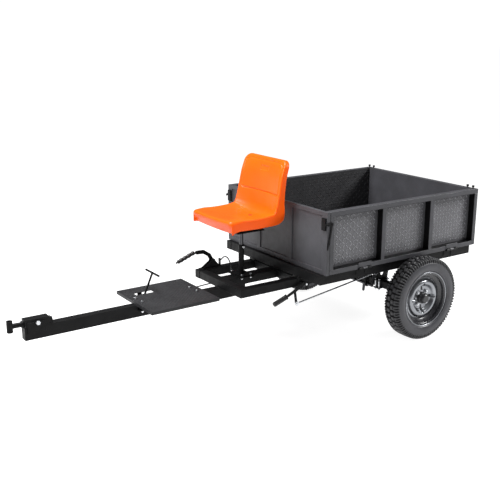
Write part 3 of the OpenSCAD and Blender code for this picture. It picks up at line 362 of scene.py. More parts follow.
EDGE_ROUND = {
    1.4: ["drawbar", "side_rails", "cross_members", "seat_beam", "axle_beam", "box_rails",
          "box_cross_members", "hitch_housing", "hitch_coupler", "headboard", "side_left_frame",
          "side_right_frame", "tailgate_frame", "rest_pads", "hub_left", "hub_right", "latch_keepers"],
    0.8: ["footplate_brackets", "axle_hangers", "tip_hinge_ears", "seat_post_outer", "seat_post_inner",
          "seat_mount_plate", "pedal_arm", "brake_lever_bracket", "brake_lever", "brake_shaft_brackets",
          "brake_shaft", "parking_lever_bracket", "parking_lever", "box_hinges", "side_left_fittings",
          "side_right_fittings", "latch_left", "latch_right", "slide_bolt_left", "slide_bolt_right",
          "frame_bolts", "wheel_nuts_left", "wheel_nuts_right", "brake_rod", "parking_button", "footplate",
          "brake_backplates"],
}
for round_mm, names in EDGE_ROUND.items():
    for name in names:
        break_edges(name, round_mm)
print("edges broken on", sum(len(names) for names in EDGE_ROUND.values()), "parts")

# %% [markdown]
# ## Making a piece
# Every new surface is worked out in millimetres as a list of points and faces, and one function turns
# that into a Blender object that moves with its part of the machine.

# %% Mesh helpers
def corners(node_name):
    """Lowest and highest corner of a frame part, in millimetres."""
    low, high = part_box(node_name)
    return np.array(low) / MM, np.array(high) / MM


def make_piece(name, shape, body, finish, crease=35.0, replaced=()):
    """A Blender object from (points in mm, faces), which rides on a body and takes a slot's finish."""
    points, faces = shape
    mesh = bpy.data.meshes.new(name)
    mesh.from_pydata((np.asarray(points, float) * MM).tolist(), [], faces)
    work = bmesh.new()
    work.from_mesh(mesh)
    bmesh.ops.recalc_face_normals(work, faces=work.faces)
    work.to_mesh(mesh)
    work.free()
    mesh.polygons.foreach_set("use_smooth", [True] * len(mesh.polygons))
    mesh.set_sharp_from_angle(angle=math.radians(crease))
    mesh.materials.append(finish)
    piece = bpy.data.objects.new(name, mesh)
    bpy.context.scene.collection.objects.link(piece)
    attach(piece, body)
    if replaced:
        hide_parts(*replaced)
    print(name, len(mesh.vertices), "points", len(mesh.polygons), "faces")
    return piece


def together(shapes):
    """Several (points, faces) as one."""
    points, faces, start = [], [], 0
    for some_points, some_faces in shapes:
        points.append(np.asarray(some_points, float))
        faces += [tuple(i + start for i in face) for face in some_faces]
        start += len(some_points)
    return np.vstack(points), faces


def slab(low_corner, high_corner):
    """A closed box between two corners."""
    (x0, y0, z0), (x1, y1, z1) = low_corner, high_corner
    points = [(x, y, z) for x in (x0, x1) for y in (y0, y1) for z in (z0, z1)]
    faces = [(0, 1, 3, 2), (4, 6, 7, 5), (0, 4, 5, 1), (2, 3, 7, 6), (0, 2, 6, 4), (1, 5, 7, 3)]
    return np.array(points, float), faces


def smooth_line(points, steps):
    """A Catmull-Rom curve through the points, with steps samples between each two."""
    p = np.asarray(points, float)
    p = np.vstack([2 * p[0] - p[1], p, 2 * p[-1] - p[-2]])
    t = (np.arange(steps) / steps)[:, None]
    spans = [0.5 * (2 * b + (c - a) * t + (2 * a - 5 * b + 4 * c - d) * t**2 + (3 * b - a - 3 * c + d) * t**3)
             for a, b, c, d in zip(p, p[1:], p[2:], p[3:])]
    return np.vstack(spans + [p[-2][None]])


def lofted(path, radii, sides=16):
    """A closed round body along a path, with a radius at each of its points."""
    path, radii = np.asarray(path, float), np.broadcast_to(radii, len(path))
    along = np.gradient(path, axis=0)
    along /= np.linalg.norm(along, axis=1)[:, None]
    across = np.cross(along[0], [0.13, 0.2, 1.0])
    points = []
    for centre, t, r in zip(path, along, radii):
        across = across - t * (across @ t)
        across /= np.linalg.norm(across)
        other = np.cross(t, across)
        a = 2 * math.pi * np.arange(sides) / sides
        points.append(centre + r * (np.cos(a)[:, None] * across + np.sin(a)[:, None] * other))
    n, last = sides, len(path) - 1
    faces = [(i * n + k, i * n + (k + 1) % n, (i + 1) * n + (k + 1) % n, (i + 1) * n + k)
             for i in range(last) for k in range(n)]
    faces += [tuple(range(n))[::-1], tuple(last * n + k for k in range(n))]
    return np.vstack(points), faces


# %% [markdown]
# ## Tyres
# The tyre is a small block-tread flotation tyre: a smooth carcass with a round shoulder, two staggered
# columns of chunky blocks in the middle, and horseshoe-shaped shoulder lugs whose two fingers run down
# over the sidewall. The carcass is turned from a profile, each block is stacked from three outlines, and
# each finger is a strip over the shoulder. The carcass between the lugs is near black, as painted shade in
# the grooves, and the blocks and fingers are a darker copy of the tyre rubber, as painted shade on the tread.

# %% Wheel layout
tyre_low, tyre_high = corners("tyre_left")
TYRE_R = (tyre_high[0] - tyre_low[0]) / 2
TYRE_HALF = (tyre_high[1] - tyre_low[1]) / 2
PITCHES = 44
PITCH_MM = 2 * math.pi * TYRE_R / PITCHES
print("tyre radius", round(TYRE_R, 1), "mm,", PITCHES, "pitches of", round(PITCH_MM, 1), "mm")


def wheel_place(centre, side):
    """Turns (radius, angle, distance outboard) into a point on that side's wheel."""
    def place(radius, angle, out):
        return np.stack([centre[0] + radius * np.cos(angle), centre[1] + side * out + 0 * radius,
                         centre[2] + radius * np.sin(angle)], -1)
    return place


def turned(profile, count, place, lift=None):
    """A closed profile of (radius, out) turned about the axle; lift(radius, angle) shifts it outboard."""
    profile = np.asarray(profile, float)
    n = len(profile)
    angle = np.repeat(2 * math.pi * np.arange(count) / count, n)
    radius, out = np.tile(profile[:, 0], count), np.tile(profile[:, 1], count)
    if lift is not None:
        out = out + lift(radius, angle)
    faces = [(k * n + i, k * n + (i + 1) % n, ((k + 1) % count) * n + (i + 1) % n, ((k + 1) % count) * n + i)
             for k in range(count) for i in range(n)]
    return place(radius, angle, out), faces


# %% Carcass
def carcass_profile():
    """Outer skin from bead to bead with its moulded rings, then back along the inside."""
    r, w = TYRE_R, TYRE_HALF
    half = smooth_line([
        (r - 8.5, 0), (r - 8.8, 20), (r - 9.6, 36), (r - 12.5, 45), (r - 17, 50), (r - 24, 53.6),
        (r - 31, 55.8), (r - 32.5, 57.0), (r - 34.5, 56.6), (r - 42, 58.2), (r - 52, w), (r - 64, w - 0.6),
        (r - 74, w - 3), (r - 78, w - 4.1), (r - 80, w - 3.6), (r - 82.5, w - 5.6), (r - 86, w - 9),
        (r - 89, w - 13.2)], 3)
    bead = np.array([(r - 93, w - 14), (r - 99.4, w - 14), (r - 99.4, w - 24)])
    inner = np.array([(r - 20, w - 18), (r - 45, w - 9), (r - 78, w - 18)])
    skin = np.vstack([half, bead])
    return np.vstack([(skin[1:] * [1, -1])[::-1], skin, inner[::-1], inner * [1, -1]])


GROOVE_DEPTH = 25


def darken_tread_floor(carcass, centre):
    """Gives the carcass between the lugs a near-black rubber: painted shade in the grooves."""
    carcass.data.materials.append(groove_shade_rubber)
    for face in carcass.data.polygons:
        reach = math.hypot(face.center.x / MM - centre[0], face.center.z / MM - centre[2])
        face.material_index = int(reach > TYRE_R - GROOVE_DEPTH)


# %% Tread
def crown(y):
    """How far the tread's top falls away from the full radius towards the shoulder."""
    return 0.0009 * np.asarray(y) ** 2


def tread_block(outline, turn, place):
    """A block with drafted walls and a broken top edge. The outline is (mm round, mm across)."""
    p = np.asarray(outline, float)
    middle = p.mean(0)
    reach = np.linalg.norm(p - middle, axis=1)[:, None]
    rings = []
    for grow, height in ((1.6, -10.0), (0.3, -1.6), (-1.3, 0.0)):
        q = middle + (p - middle) * (1 + grow / reach)
        rings.append(place(TYRE_R + height - crown(q[:, 1]), turn + q[:, 0] / TYRE_R, q[:, 1]))
    n = len(p)
    faces = [(i * n + k, i * n + (k + 1) % n, (i + 1) * n + (k + 1) % n, (i + 1) * n + k)
             for i in range(2) for k in range(n)]
    return np.vstack(rings), faces + [tuple(2 * n + k for k in range(n))]


FINGER_TOP = [(-0.9, 34), (-1.4, 41), (-3.6, 47.5), (-8.5, 52.6), (-15, 55.6), (-22, 57.4), (-27.5, 57.6)]
FINGER_FOOT = [(-10.5, 34), (-11.5, 41), (-14.0, 45.5), (-19, 49), (-24, 51), (-28, 53), (-31, 54.6)]


def shoulder_finger(start_mm, end_mm, turn, flip, place):
    """A rib over the shoulder: a drafted strip whose top follows FINGER_TOP."""
    top, foot = np.array(FINGER_TOP), np.array(FINGER_FOOT)
    rows = []
    for (dr, y), (fr, fy) in zip(top, foot):
        for s, (drop, out) in ((start_mm - 1.2, (fr, fy)), (start_mm, (dr - 1.2, y - 0.4)),
                               (start_mm + 1.4, (dr, y)), (end_mm - 1.4, (dr, y)),
                               (end_mm, (dr - 1.2, y - 0.4)), (end_mm + 1.2, (fr, fy))):
            angle = turn + flip * s / TYRE_R
            rows.append(place(np.array(TYRE_R + drop), np.array(angle), np.array(flip * out)))
    n = 6
    faces = [(i * n + k, i * n + k + 1, (i + 1) * n + k + 1, (i + 1) * n + k)
             for i in range(len(top) - 1) for k in range(n - 1)]
    last = (len(top) - 1) * n
    faces += [tuple(range(n))[::-1], tuple(last + k for k in range(n))]
    return np.array(rows), faces


FINGERS = ((5.0, 13.6), (22.4, 31.0))
CENTRE_BLOCK = [(5.5, 4), (17, 2.2), (28.5, 6.5), (30.5, 16), (25.5, 25), (12, 24), (4.5, 15)]
BRIDGE_BLOCK = [(5.5, 30.5), (30.5, 30.5), (31, 38.5), (5, 38.5)]


def tread_shape(place):
    """All the blocks and fingers of one tyre. The far half is the near half, turned round."""
    shapes = []
    for k in range(PITCHES):
        turn = 2 * math.pi * k / PITCHES
        for flip, shift in ((1, 0.0), (-1, 0.5 * PITCH_MM / TYRE_R)):
            for outline in (CENTRE_BLOCK, BRIDGE_BLOCK):
                turned_outline = [(flip * s, flip * y) for s, y in outline]
                shapes.append(tread_block(turned_outline, turn + shift, place))
            for start, end in FINGERS:
                shapes.append(shoulder_finger(start, end, turn + shift, flip, place))
    return together(shapes)


# %% [markdown]
# ## Rims
# The rim is pressed and rolled steel: a deep barrel with the disc set far in. The barrel's lacquer is
# dark, and made darker than the disc to paint in the dark reflections deep in the barrel. The disc has
# a raised ring that catches the light, four radial swages between the studs, and a flat stud face.
# Both are turned; the swages are a height that depends on the angle.

# %% Rim
BARREL = [(171, -52), (171, -48), (168, -46.4), (161.5, -46), (159.6, -43), (159, -31), (150, -27),
          (138.6, -21), (137, -19), (137, 12), (138.6, 14), (151, 22), (159, 26.4), (160, 29), (160, 43),
          (161.6, 46), (168, 46.6), (171.6, 49), (171.4, 51.6), (169.6, 52.6), (167, 51), (159, 49.4),
          (155.6, 46), (155, 29.6), (146, 25), (134.6, 18.6), (132.6, 16), (132.6, -22), (134.6, -24.6),
          (155, -33.6), (155.6, -46), (160, -50), (168, -52.4)]
FLANGE = [(172.4, 46.6), (173.0, 49.0), (172.2, 51.4), (170.2, 52.9), (167.6, 52.2), (166.4, 50.6),
          (168.2, 50.0), (170.4, 50.6), (171.2, 49.2), (170.6, 47.0)]
DISC_FACE = [(134.5, 9.5), (130, 11), (124, 12.4), (120.5, 15), (115, 23.5), (110, 29), (104, 31.2),
             (97, 31.6), (91, 30.6), (86.5, 27), (80, 16), (75.5, 10.6), (70, 8.4), (64, 8.0), (50, 8.0),
             (40, 8.0), (35.6, 8.2)]
DISC_THICK = 4.0
STUD_CIRCLE_R = 50
QUARTER = math.pi / 2


def swage(radius, angle):
    """Four radial pressings between the studs: narrow troughs from the hub to the raised ring."""
    along = np.exp(-((radius - 72) / 23.0) ** 6)
    nearest = np.abs(((angle / QUARTER + 0.5) % 1) - 0.5) * QUARTER * radius
    return -17.0 * along * np.exp(-(nearest / 6.5) ** 4)


def stud_boss(radius, angle):
    """A shallow coined seat round each stud."""
    turn = ((angle / QUARTER) % 1 - 0.5) * QUARTER
    reach = np.hypot(radius * np.cos(turn) - STUD_CIRCLE_R, radius * np.sin(turn))
    return -2.2 * np.exp(-((reach - 15) / 3.2) ** 2)


def disc_profile():
    """The outer face, then back along the inner one."""
    face = smooth_line(DISC_FACE, 2)
    return np.vstack([face, (face - [0, DISC_THICK])[::-1]])


# %% Both wheels
STEM_TURN = 2.2
STEM = [(151, 20, 6.0), (150, 24, 4.6), (148, 34, 3.4), (147.5, 38, 3.4)]
for side, name in ((-1, "left"), (1, "right")):
    low, high = corners(f"tyre_{name}")
    centre = (low + high) / 2
    place = wheel_place(centre, side)
    wheel = f"wheel_{name}"
    carcass = make_piece(f"tyre_carcass_{name}", turned(carcass_profile(), 132, place), wheel,
                         tyre_rubber, 50.0, [f"tyre_{name}"])
    darken_tread_floor(carcass, centre)
    make_piece(f"tyre_tread_{name}", tread_shape(place), wheel, shaded_tread_rubber, 40.0)
    make_piece(f"rim_barrel_{name}", turned(BARREL, 96, place), wheel, rim_barrel_shade_paint, 40.0,
               [f"rim_{name}"])
    make_piece(f"rim_flange_{name}", turned(FLANGE, 120, place), wheel, rim_silver, 60.0)
    disc = turned(disc_profile(), 160, place, lambda r, a: swage(r, a) + stud_boss(r, a))
    make_piece(f"rim_disc_{name}", disc, wheel, rim_silver, 60.0)
    stem_path = [place(np.array(r), np.array(STEM_TURN), np.array(out)) for r, out, _ in STEM]
    make_piece(f"valve_stem_{name}", lofted(stem_path, [thick for _, _, thick in STEM]), wheel,
               handle_rubber)

# %% [markdown]
# ## Seat
# The seat is one moulded shell: a dished pan with a rounded front edge, a tight bend, and a backrest with
# a grooved inset panel. A deep skirt runs all the way round. It is a grid laid along the side profile:
# each point is lifted or lowered by its distance from the edge, the groove, the small recess and the dish.

# %% Seat profile
seat_low, seat_high = corners("seat_shell")
post_low, post_high = corners("seat_post_inner")
SEAT_X = (post_low[0] + post_high[0]) / 2
BACK_TOP = 331.0
SEAT_Z = seat_high[2] - BACK_TOP
FLARE = 2.5
SEAT_HALF, TOP_HALF = (seat_high[1] - seat_low[1]) / 2 - FLARE, 212.0
PROFILE = [(-221, 5), (-206, 10), (-150, 5), (-60, -8), (40, -14), (92, -11), (119, 0), (136, 26), (146, 64),
           (156, 130), (166, 220), (181, 300), (189.5, 330.5)]

line = smooth_line(PROFILE, 40)
length = np.concatenate([[0], np.cumsum(np.linalg.norm(np.diff(line, axis=0), axis=1))])
TOTAL = length[-1]


def on_line(s):
    """The profile's point and its upper normal, at a distance s along it."""
    point = np.stack([np.interp(s, length, line[:, k]) for k in (0, 1)], -1)
    ahead = np.stack([np.interp(s + 6, length, line[:, k]) for k in (0, 1)], -1)
    behind = np.stack([np.interp(s - 6, length, line[:, k]) for k in (0, 1)], -1)
    t = ahead - behind
    t /= np.linalg.norm(t, axis=-1, keepdims=True)
    return point, np.stack([-t[..., 1], t[..., 0]], -1)


def seat_half(s):
    """Half the seat's width at s."""
    z = np.interp(s, length, line[:, 1])
    return np.interp(z, [140, 276], [SEAT_HALF, TOP_HALF])


print("seat profile", round(TOTAL), "mm long")

# %% Seat surface
DRAIN_X, DRAIN_Y, DRAIN_R = 64.0, -2.0, 13.0
FRONT_CORNER, TOP_CORNER = 34.0, 52.0
EDGE_BAND = 32.0


def edge_round(s):
    """Radius of the rolled edge: large at the front, tight at the sides and the top."""
    return float(np.interp(s, [30, 90], [30.0, 12.0]))


def corner_radius(s):
    """Radius in plan of the nearer two corners."""
    return FRONT_CORNER if s < TOTAL / 2 else TOP_CORNER


def half_at(s):
    """Half width with the rounded corners in plan."""
    r, end = corner_radius(s), min(s, TOTAL - s)
    cut = r - math.sqrt(max(0.0, r * r - (r - end) ** 2)) if end < r else 0.0
    return float(seat_half(s)) - cut


def edge_distance(s, y):
    """Distance in from the outline."""
    r, end, aside = corner_radius(s), min(s, TOTAL - s), float(seat_half(s)) - abs(y)
    if end < r and aside < r:
        return r - math.hypot(r - end, r - aside)
    return min(end, aside)


def rounded_box(u, v, half_u, half_v, r):
    """Signed distance to a rounded rectangle, negative inside."""
    du, dv = np.abs(u) - half_u + r, np.abs(v) - half_v + r
    return np.hypot(np.maximum(du, 0), np.maximum(dv, 0)) + np.minimum(np.maximum(du, dv), 0) - r


def inside(distance, soft):
    """1 well inside an outline, 0 outside, with a soft step between."""
    return 0.5 - 0.5 * math.tanh(distance / (2 * soft))


# %% Seat settings
back = length > TOTAL / 2
PANEL_FOOT_Z, PANEL_INSET = 122, 27
PANEL_LOW = float(np.interp(PANEL_FOOT_Z, line[:, 1][back], length[back]))
PANEL_HIGH = TOTAL - PANEL_INSET
GROOVE_MM, GROOVE_WIDE, PANEL_RISE = 4.0, 3.2, 1.6
MARK_FROM_TOP, MARK_HALF_TALL, MARK_HALF_WIDE, MARK_DEEP = 72, 13.0, 40.0, 3.2
EDGE_STEPS = [0, 0.6, 1.8, 3.6, 6, 9, 12, 15.5, 20, 26, EDGE_BAND]
inner = np.linspace(EDGE_BAND, TOTAL - EDGE_BAND, 262)
rows = np.concatenate([EDGE_STEPS[:-1], inner, [TOTAL - e for e in EDGE_STEPS[:-1][::-1]]])
columns = 141

DISH_AT = [0, 60, 160, 280, 350, 400, 430, 490, 580, 640, TOTAL]
DISH_MM = [10, 15, 26, 38, 46, 44, 41, 37, 28, 18, 8]
SKIRT_AT = [0, 40, 75, 160, 280, 320, 355, 385, 430, 490, 580, 660, TOTAL]
SKIRT_MM = [82, 72, 64, 62, 66, 72, 82, 70, 52, 42, 37, 32, 28]


def seat_point(s, y):
    """One point of the seat's face."""
    p, n = on_line(np.array(s))
    half = float(seat_half(s))
    r = edge_round(s)
    d = max(0.0, min(edge_distance(s, y), r))
    lift = math.sqrt(r * r - (r - d) ** 2) - r
    dish = float(np.interp(s, DISH_AT, DISH_MM))
    lift += dish * abs(y / half) ** 2.4
    panel_corner = 34.0 if s > TOTAL - 110 else 20.0
    panel = float(rounded_box(s - (PANEL_LOW + PANEL_HIGH) / 2, y, (PANEL_HIGH - PANEL_LOW) / 2,
                              half - PANEL_INSET, panel_corner))
    lift += -GROOVE_MM * math.exp(-(panel / GROOVE_WIDE) ** 2) + PANEL_RISE * inside(panel, 2.0)
    mark = float(rounded_box(s - (TOTAL - MARK_FROM_TOP), y, MARK_HALF_TALL, MARK_HALF_WIDE, 4.0))
    lift -= MARK_DEEP * inside(mark, 0.7)
    return [SEAT_X + p[0] + n[0] * lift, y, SEAT_Z + p[1] + n[1] * lift]


def over_drain(face_corners):
    """True for a face of the pan whose middle lies over the drain hole."""
    x = sum(p[0] - SEAT_X - DRAIN_X for p in face_corners) / 4
    y = sum(p[1] - DRAIN_Y for p in face_corners) / 4
    return math.hypot(x, y) < DRAIN_R and face_corners[0][2] < SEAT_Z + 20


def seat_shape():
    """The face, and the skirt that runs round its outline."""
    edge_columns = np.array(EDGE_STEPS[:-1])
    points, where = [], []
    for s in rows:
        half = half_at(s)
        flat = half - EDGE_BAND
        across = np.concatenate([
            -(half - edge_columns), np.linspace(-flat, flat, columns), (half - edge_columns)[::-1]])
        for y in across:
            points.append(seat_point(s, y))
            where.append((s, y))
    n, m = len(across), len(rows)
    faces = [(i * n + k, i * n + k + 1, (i + 1) * n + k + 1, (i + 1) * n + k)
             for i in range(m - 1) for k in range(n - 1)]
    faces = [face for face in faces if not over_drain([points[i] for i in face])]
    rim = ([k for k in range(n)] + [i * n + n - 1 for i in range(1, m)]
           + [(m - 1) * n + k for k in range(n - 2, -1, -1)] + [i * n for i in range(m - 2, 0, -1)])
    rings = [rim]
    for share in (0.25, 0.5, 0.75, 0.95, 1.0):
        ring = []
        for i in rim:
            s, y = where[i]
            _, normal = on_line(np.array(s))
            deep = (float(np.interp(s, SKIRT_AT, SKIRT_MM)) - edge_round(s)) * share
            flare = FLARE * share - (3.0 if share == 1.0 else 0.0)
            side = np.sign(y) * min(1.0, max(0.0, (abs(y) - half_at(s) + 3) / 3))
            x, _, z = points[i]
            points.append([x - normal[0] * deep, y + side * flare * 0.6, z - normal[1] * deep])
            where.append((s, y))
            ring.append(len(points) - 1)
        rings.append(ring)
    count = len(rim)
    for a, b in zip(rings, rings[1:]):
        faces += [(a[k], a[(k + 1) % count], b[(k + 1) % count], b[k]) for k in range(count)]
    return np.array(points), faces


# %% Seat shell
seat = make_piece("moulded_seat_shell", seat_shape(), "seat", seat_plastic, 70.0,
                  ["seat_shell"])
wall = seat.modifiers.new("wall", "SOLIDIFY")
wall.thickness, wall.offset = 4.0 * MM, -1.0

# %% [markdown]
# Rain leaves the pan by one round hole. A small raised lip stiffens its edge, and a black disc a little way
# down the hole is painted shade inside it.

# %% Drain lip and painted shade in the hole
AROUND, SIDES = 40, 10
PAN_POINTS = 300
a = 2 * math.pi * np.arange(AROUND) / AROUND
lip_z = float(np.interp(DRAIN_X, line[:PAN_POINTS, 0], line[:PAN_POINTS, 1])) + SEAT_Z - 0.6
lip_r = DRAIN_R + 1.4
lip_path = np.stack([SEAT_X + DRAIN_X + lip_r * np.cos(a), DRAIN_Y + lip_r * np.sin(a),
                     np.full(AROUND, lip_z)], -1)
lip_points = []
for angle, middle in zip(a, lip_path):
    outward = np.array([math.cos(angle), math.sin(angle), 0])
    for k in range(SIDES):
        b = 2 * math.pi * k / SIDES
        lip_points.append(middle + 1.8 * math.cos(b) * outward + np.array([0, 0, 1.0 * math.sin(b)]))
lip_faces = []
for i in range(AROUND):
    here, after = i * SIDES, (i + 1) % AROUND * SIDES
    lip_faces += [(here + k, here + (k + 1) % SIDES, after + (k + 1) % SIDES, after + k)
                  for k in range(SIDES)]
make_piece("seat_drain_lip", (np.array(lip_points), lip_faces), "seat", seat_plastic)
# A solid black disc a little way down the drain hole: painted shade in the hole.
drain_shade_path = [(SEAT_X + DRAIN_X, DRAIN_Y, lip_z + z) for z in (-5.0, -2.0, -1.0, -0.7)]
drain_shade_disc = lofted(drain_shade_path, [13.4, 13.4, 12.8, 9.0], 32)
make_piece("seat_drain_shade_disc", drain_shade_disc, "seat", handle_rubber)

# %% [markdown]
# ## Chequer plate
# Chequer plate is rolled with rows of lens-shaped lugs, each turned a quarter turn from its neighbours.
# Here one lug is a low domed lens, and a whole sheet of them is laid out with array arithmetic, so that
# thousands cost little. The pitch is 26 by 22.5 mm, and a lug is 27 mm long, 6.4 mm wide and 2 mm high,
# or 1.4 mm high inside the box. Outside, each field has a thin skin of paler paint behind its lugs: painted
# light on the outer face of the same sheet whose inside is painted darker.

# %% Lug pattern
def lug_template(long_mm, wide_mm, high_mm):
    """A domed lens, flat in its own plane: three rings of eight points."""
    t = 2 * math.pi * np.arange(8) / 8
    x, y = np.cos(t), np.sin(t) * (0.55 + 0.45 * np.abs(np.sin(t)))
    rings = [(1.0, 1.0, 0.0), (0.86, 0.72, 0.72), (0.6, 0.36, 1.0)]
    return np.vstack([np.stack([x * a * long_mm / 2, y * b * wide_mm / 2, np.full(8, c * high_mm)], -1)
                      for a, b, c in rings])


def lug_sheet(origin, right, up, normal, size, pitch, lug, keep=lambda a, b: True):
    """Lugs over a rectangle from its corner, alternately leaning left and right."""
    template = lug_template(*lug)
    right, up, normal = (np.array(v, float) for v in (right, up, normal))
    points, faces, start = [], [], 0
    n_right, n_up = int(size[0] // pitch[0]), int(size[1] // pitch[1])
    edge = ((size[0] - n_right * pitch[0]) / 2, (size[1] - n_up * pitch[1]) / 2)
    for i in range(n_right):
        for j in range(n_up):
            a, b = edge[0] + (i + 0.5) * pitch[0], edge[1] + (j + 0.5) * pitch[1]
            if not keep(a, b):
                continue
            turn = math.radians(45 if (i + j) % 2 else 135)
            c, s = math.cos(turn), math.sin(turn)
            across = template[:, 0] * c - template[:, 1] * s + a
            along = template[:, 0] * s + template[:, 1] * c + b
            points.append(np.array(origin) + across[:, None] * right + along[:, None] * up
                          + template[:, 2:3] * normal)
            for ring in (0, 8):
                faces += [(start + ring + k, start + ring + (k + 1) % 8, start + ring + 8 + (k + 1) % 8,
                           start + ring + 8 + k) for k in range(8)]
            faces.append(tuple(start + 16 + k for k in range(8)))
            start += 24
    return np.vstack(points), faces


# %% Lugs on the sides
LUG = (27.0, 6.4, 2.0)
INNER_LUG = (27.0, 6.4, 1.4)
CHEQUER_PITCH = (26.0, 22.5)
BAR, FIELDS, SKIN, BOLT_CLEAR = 28.0, 3, 0.5, 40.0
FIELD_GAP, SHEET_MARGIN = 2, 8
for side, name in ((-1, "left"), (1, "right")):
    low, high = corners(f"side_{name}_sheet")
    field_pitch = (high[0] - low[0] - BAR) / FIELDS
    outer_y, inner_y = (low[1], high[1]) if side < 0 else (high[1], low[1])
    y0, y1 = sorted((outer_y, outer_y + side * SKIN))
    wide = field_pitch - BAR - 2 * FIELD_GAP
    tall = high[2] - low[2] - 2 * BAR - 2 * FIELD_GAP
    skins, lugs = [], []
    for i in range(FIELDS):
        x0, z0 = low[0] + BAR + i * field_pitch + FIELD_GAP, low[2] + BAR + FIELD_GAP
        skins.append(slab((x0, y0, z0), (x0 + wide, y1, z0 + tall)))
        corner = (x0 + FIELD_GAP, outer_y + side * SKIN, z0 + FIELD_GAP)
        lugs.append(lug_sheet(corner, (1, 0, 0), (0, 0, 1), (0, side, 0),
                              (wide - 2 * FIELD_GAP, tall - 2 * FIELD_GAP), CHEQUER_PITCH, LUG))
    body = f"side_{name}"
    make_piece(f"chequer_fields_{name}", together(skins), body, lit_plate_paint, 40.0)
    make_piece(f"chequer_lugs_outside_{name}", together(lugs), body, rubbed_and_lit_lug_paint, 60.0)
    bolt_low, bolt_high = corners(f"slide_bolt_{name}")
    bolt_a = (bolt_low[0] + bolt_high[0]) / 2 - low[0] - SHEET_MARGIN
    bolt_b = (bolt_low[2] + bolt_high[2]) / 2 - low[2] - SHEET_MARGIN
    corner = (low[0] + SHEET_MARGIN, inner_y, low[2] + SHEET_MARGIN)
    size = (high[0] - low[0] - 2 * SHEET_MARGIN, high[2] - low[2] - 2 * SHEET_MARGIN)
    inner_lugs = lug_sheet(corner, (1, 0, 0), (0, 0, 1), (0, -side, 0), size, CHEQUER_PITCH, INNER_LUG,
                           lambda a, b: abs(a - bolt_a) > BOLT_CLEAR or abs(b - bolt_b) > BOLT_CLEAR)
    make_piece(f"chequer_lugs_inside_{name}", inner_lugs, body, shaded_inner_paint, 60.0)

# %% Lugs on level sheets
def level_lugs(low, high, pitch, lug, keep=lambda a, b: True):
    """Lugs on the top of a level sheet, all but a margin round its edge."""
    corner = (low[0] + SHEET_MARGIN, low[1] + SHEET_MARGIN, high[2])
    size = (high[0] - low[0] - 2 * SHEET_MARGIN, high[1] - low[1] - 2 * SHEET_MARGIN)
    return lug_sheet(corner, (1, 0, 0), (0, 1, 0), (0, 0, 1), size, pitch, lug, keep)


low, high = corners("box_floor")
make_piece("chequer_lugs_floor", level_lugs(low, high, CHEQUER_PITCH, LUG), "box", shaded_inner_paint,
           60.0)

# %% [markdown]
# Each chequered field sits in a deep rebate. Black strips line its four walls, which makes the fields look
# deep. The open ends of the bars are closed with rubber plugs.

# %% Rebate strips
STRIP, FRAME_DEPTH, TUBE_WALL, PLUG = 1.5, 43.0, 3.0, 2.0
for side, name in ((-1, "left"), (1, "right")):
    low, high = corners(f"side_{name}_sheet")
    field_pitch = (high[0] - low[0] - BAR) / FIELDS
    sheet_face = low[1] if side < 0 else high[1]
    y0, y1 = sorted((sheet_face, sheet_face + side * (FRAME_DEPTH - 2)))
    z0, z1 = low[2] + BAR, high[2] - BAR
    strips = []
    for i in range(FIELDS):
        x0 = low[0] + BAR + i * field_pitch
        x1 = x0 + field_pitch - BAR
        strips += [slab((x0, y0, z0), (x0 + STRIP, y1, z1)), slab((x1 - STRIP, y0, z0), (x1, y1, z1)),
                   slab((x0, y0, z0), (x1, y1, z0 + STRIP)), slab((x0, y0, z1 - STRIP), (x1, y1, z1))]
    make_piece(f"rebate_strips_{name}", together(strips), f"side_{name}", frame_paint)
    y0, y1 = sorted((sheet_face + side * TUBE_WALL, sheet_face + side * (FRAME_DEPTH - TUBE_WALL)))
    plugs = [slab((x, y0, z + TUBE_WALL), (x + PLUG, y1, z + BAR - TUBE_WALL))
             for x in (low[0] + 0.5, high[0] - 2.5) for z in (low[2], high[2] - BAR)]
    make_piece(f"tube_plugs_{name}", together(plugs), f"side_{name}", handle_rubber)

# %% [markdown]
# The footplate is a finer tread sheet. Its bars are only 12 mm apart, and it leaves the pedal's slot and
# the bolt heads free.

# %% Footplate tread
low, high = corners("footplate")
SLOT_X, SLOT_Y = (62.0, 174.0), (85.0, 125.0)
SLOT_CLEAR, BOLT_HEAD_CLEAR = 8, 17
TREAD_PITCH, TREAD_BAR = (12.0, 12.0), (12.5, 3.2, 1.0)
bolts = [(x, s * 40.0) for x in (34.0, high[0] - low[0] - 44.0) for s in (-1, 1)]


def clear_of_slot(a, b):
    """True where a tread bar has room: off the slot and off the bolt heads."""
    x, y = a + SHEET_MARGIN, b + SHEET_MARGIN + low[1]
    in_slot = (SLOT_X[0] - SLOT_CLEAR < x < SLOT_X[1] + SLOT_CLEAR
               and SLOT_Y[0] - SLOT_CLEAR < y < SLOT_Y[1] + SLOT_CLEAR)
    return not in_slot and all(math.hypot(x - bx, y - by) > BOLT_HEAD_CLEAR for bx, by in bolts)


make_piece("footplate_tread", level_lugs(low, high, TREAD_PITCH, TREAD_BAR, clear_of_slot), "chassis",
           tread_paint, 60.0)

# %% [markdown]
# ## Grips
# The brake lever wears a ribbed rubber sleeve with a flange that stops the hand, pushed on with soapy
# water. The parking lever has a harder grip with finger waves. Both are turned along the lever's own axis.

# %% Grip shapes
def node_points(node_name):
    """Every corner of a frame part's mesh, in millimetres."""
    node = frame["nodes"][node_name]
    return np.array([node.matrix_world @ v.co for v in node.data.vertices]) / MM


def centre_line(node_name, count):
    """The middle line of a long part in count steps, from its lower end up."""
    points = node_points(node_name)
    middle = points.mean(0)
    axis = np.linalg.svd(points - middle, full_matrices=False)[2][0]
    axis = axis if axis[2] > 0 else -axis
    along = (points - middle) @ axis
    return middle + np.linspace(along.min(), along.max(), count)[:, None] * axis


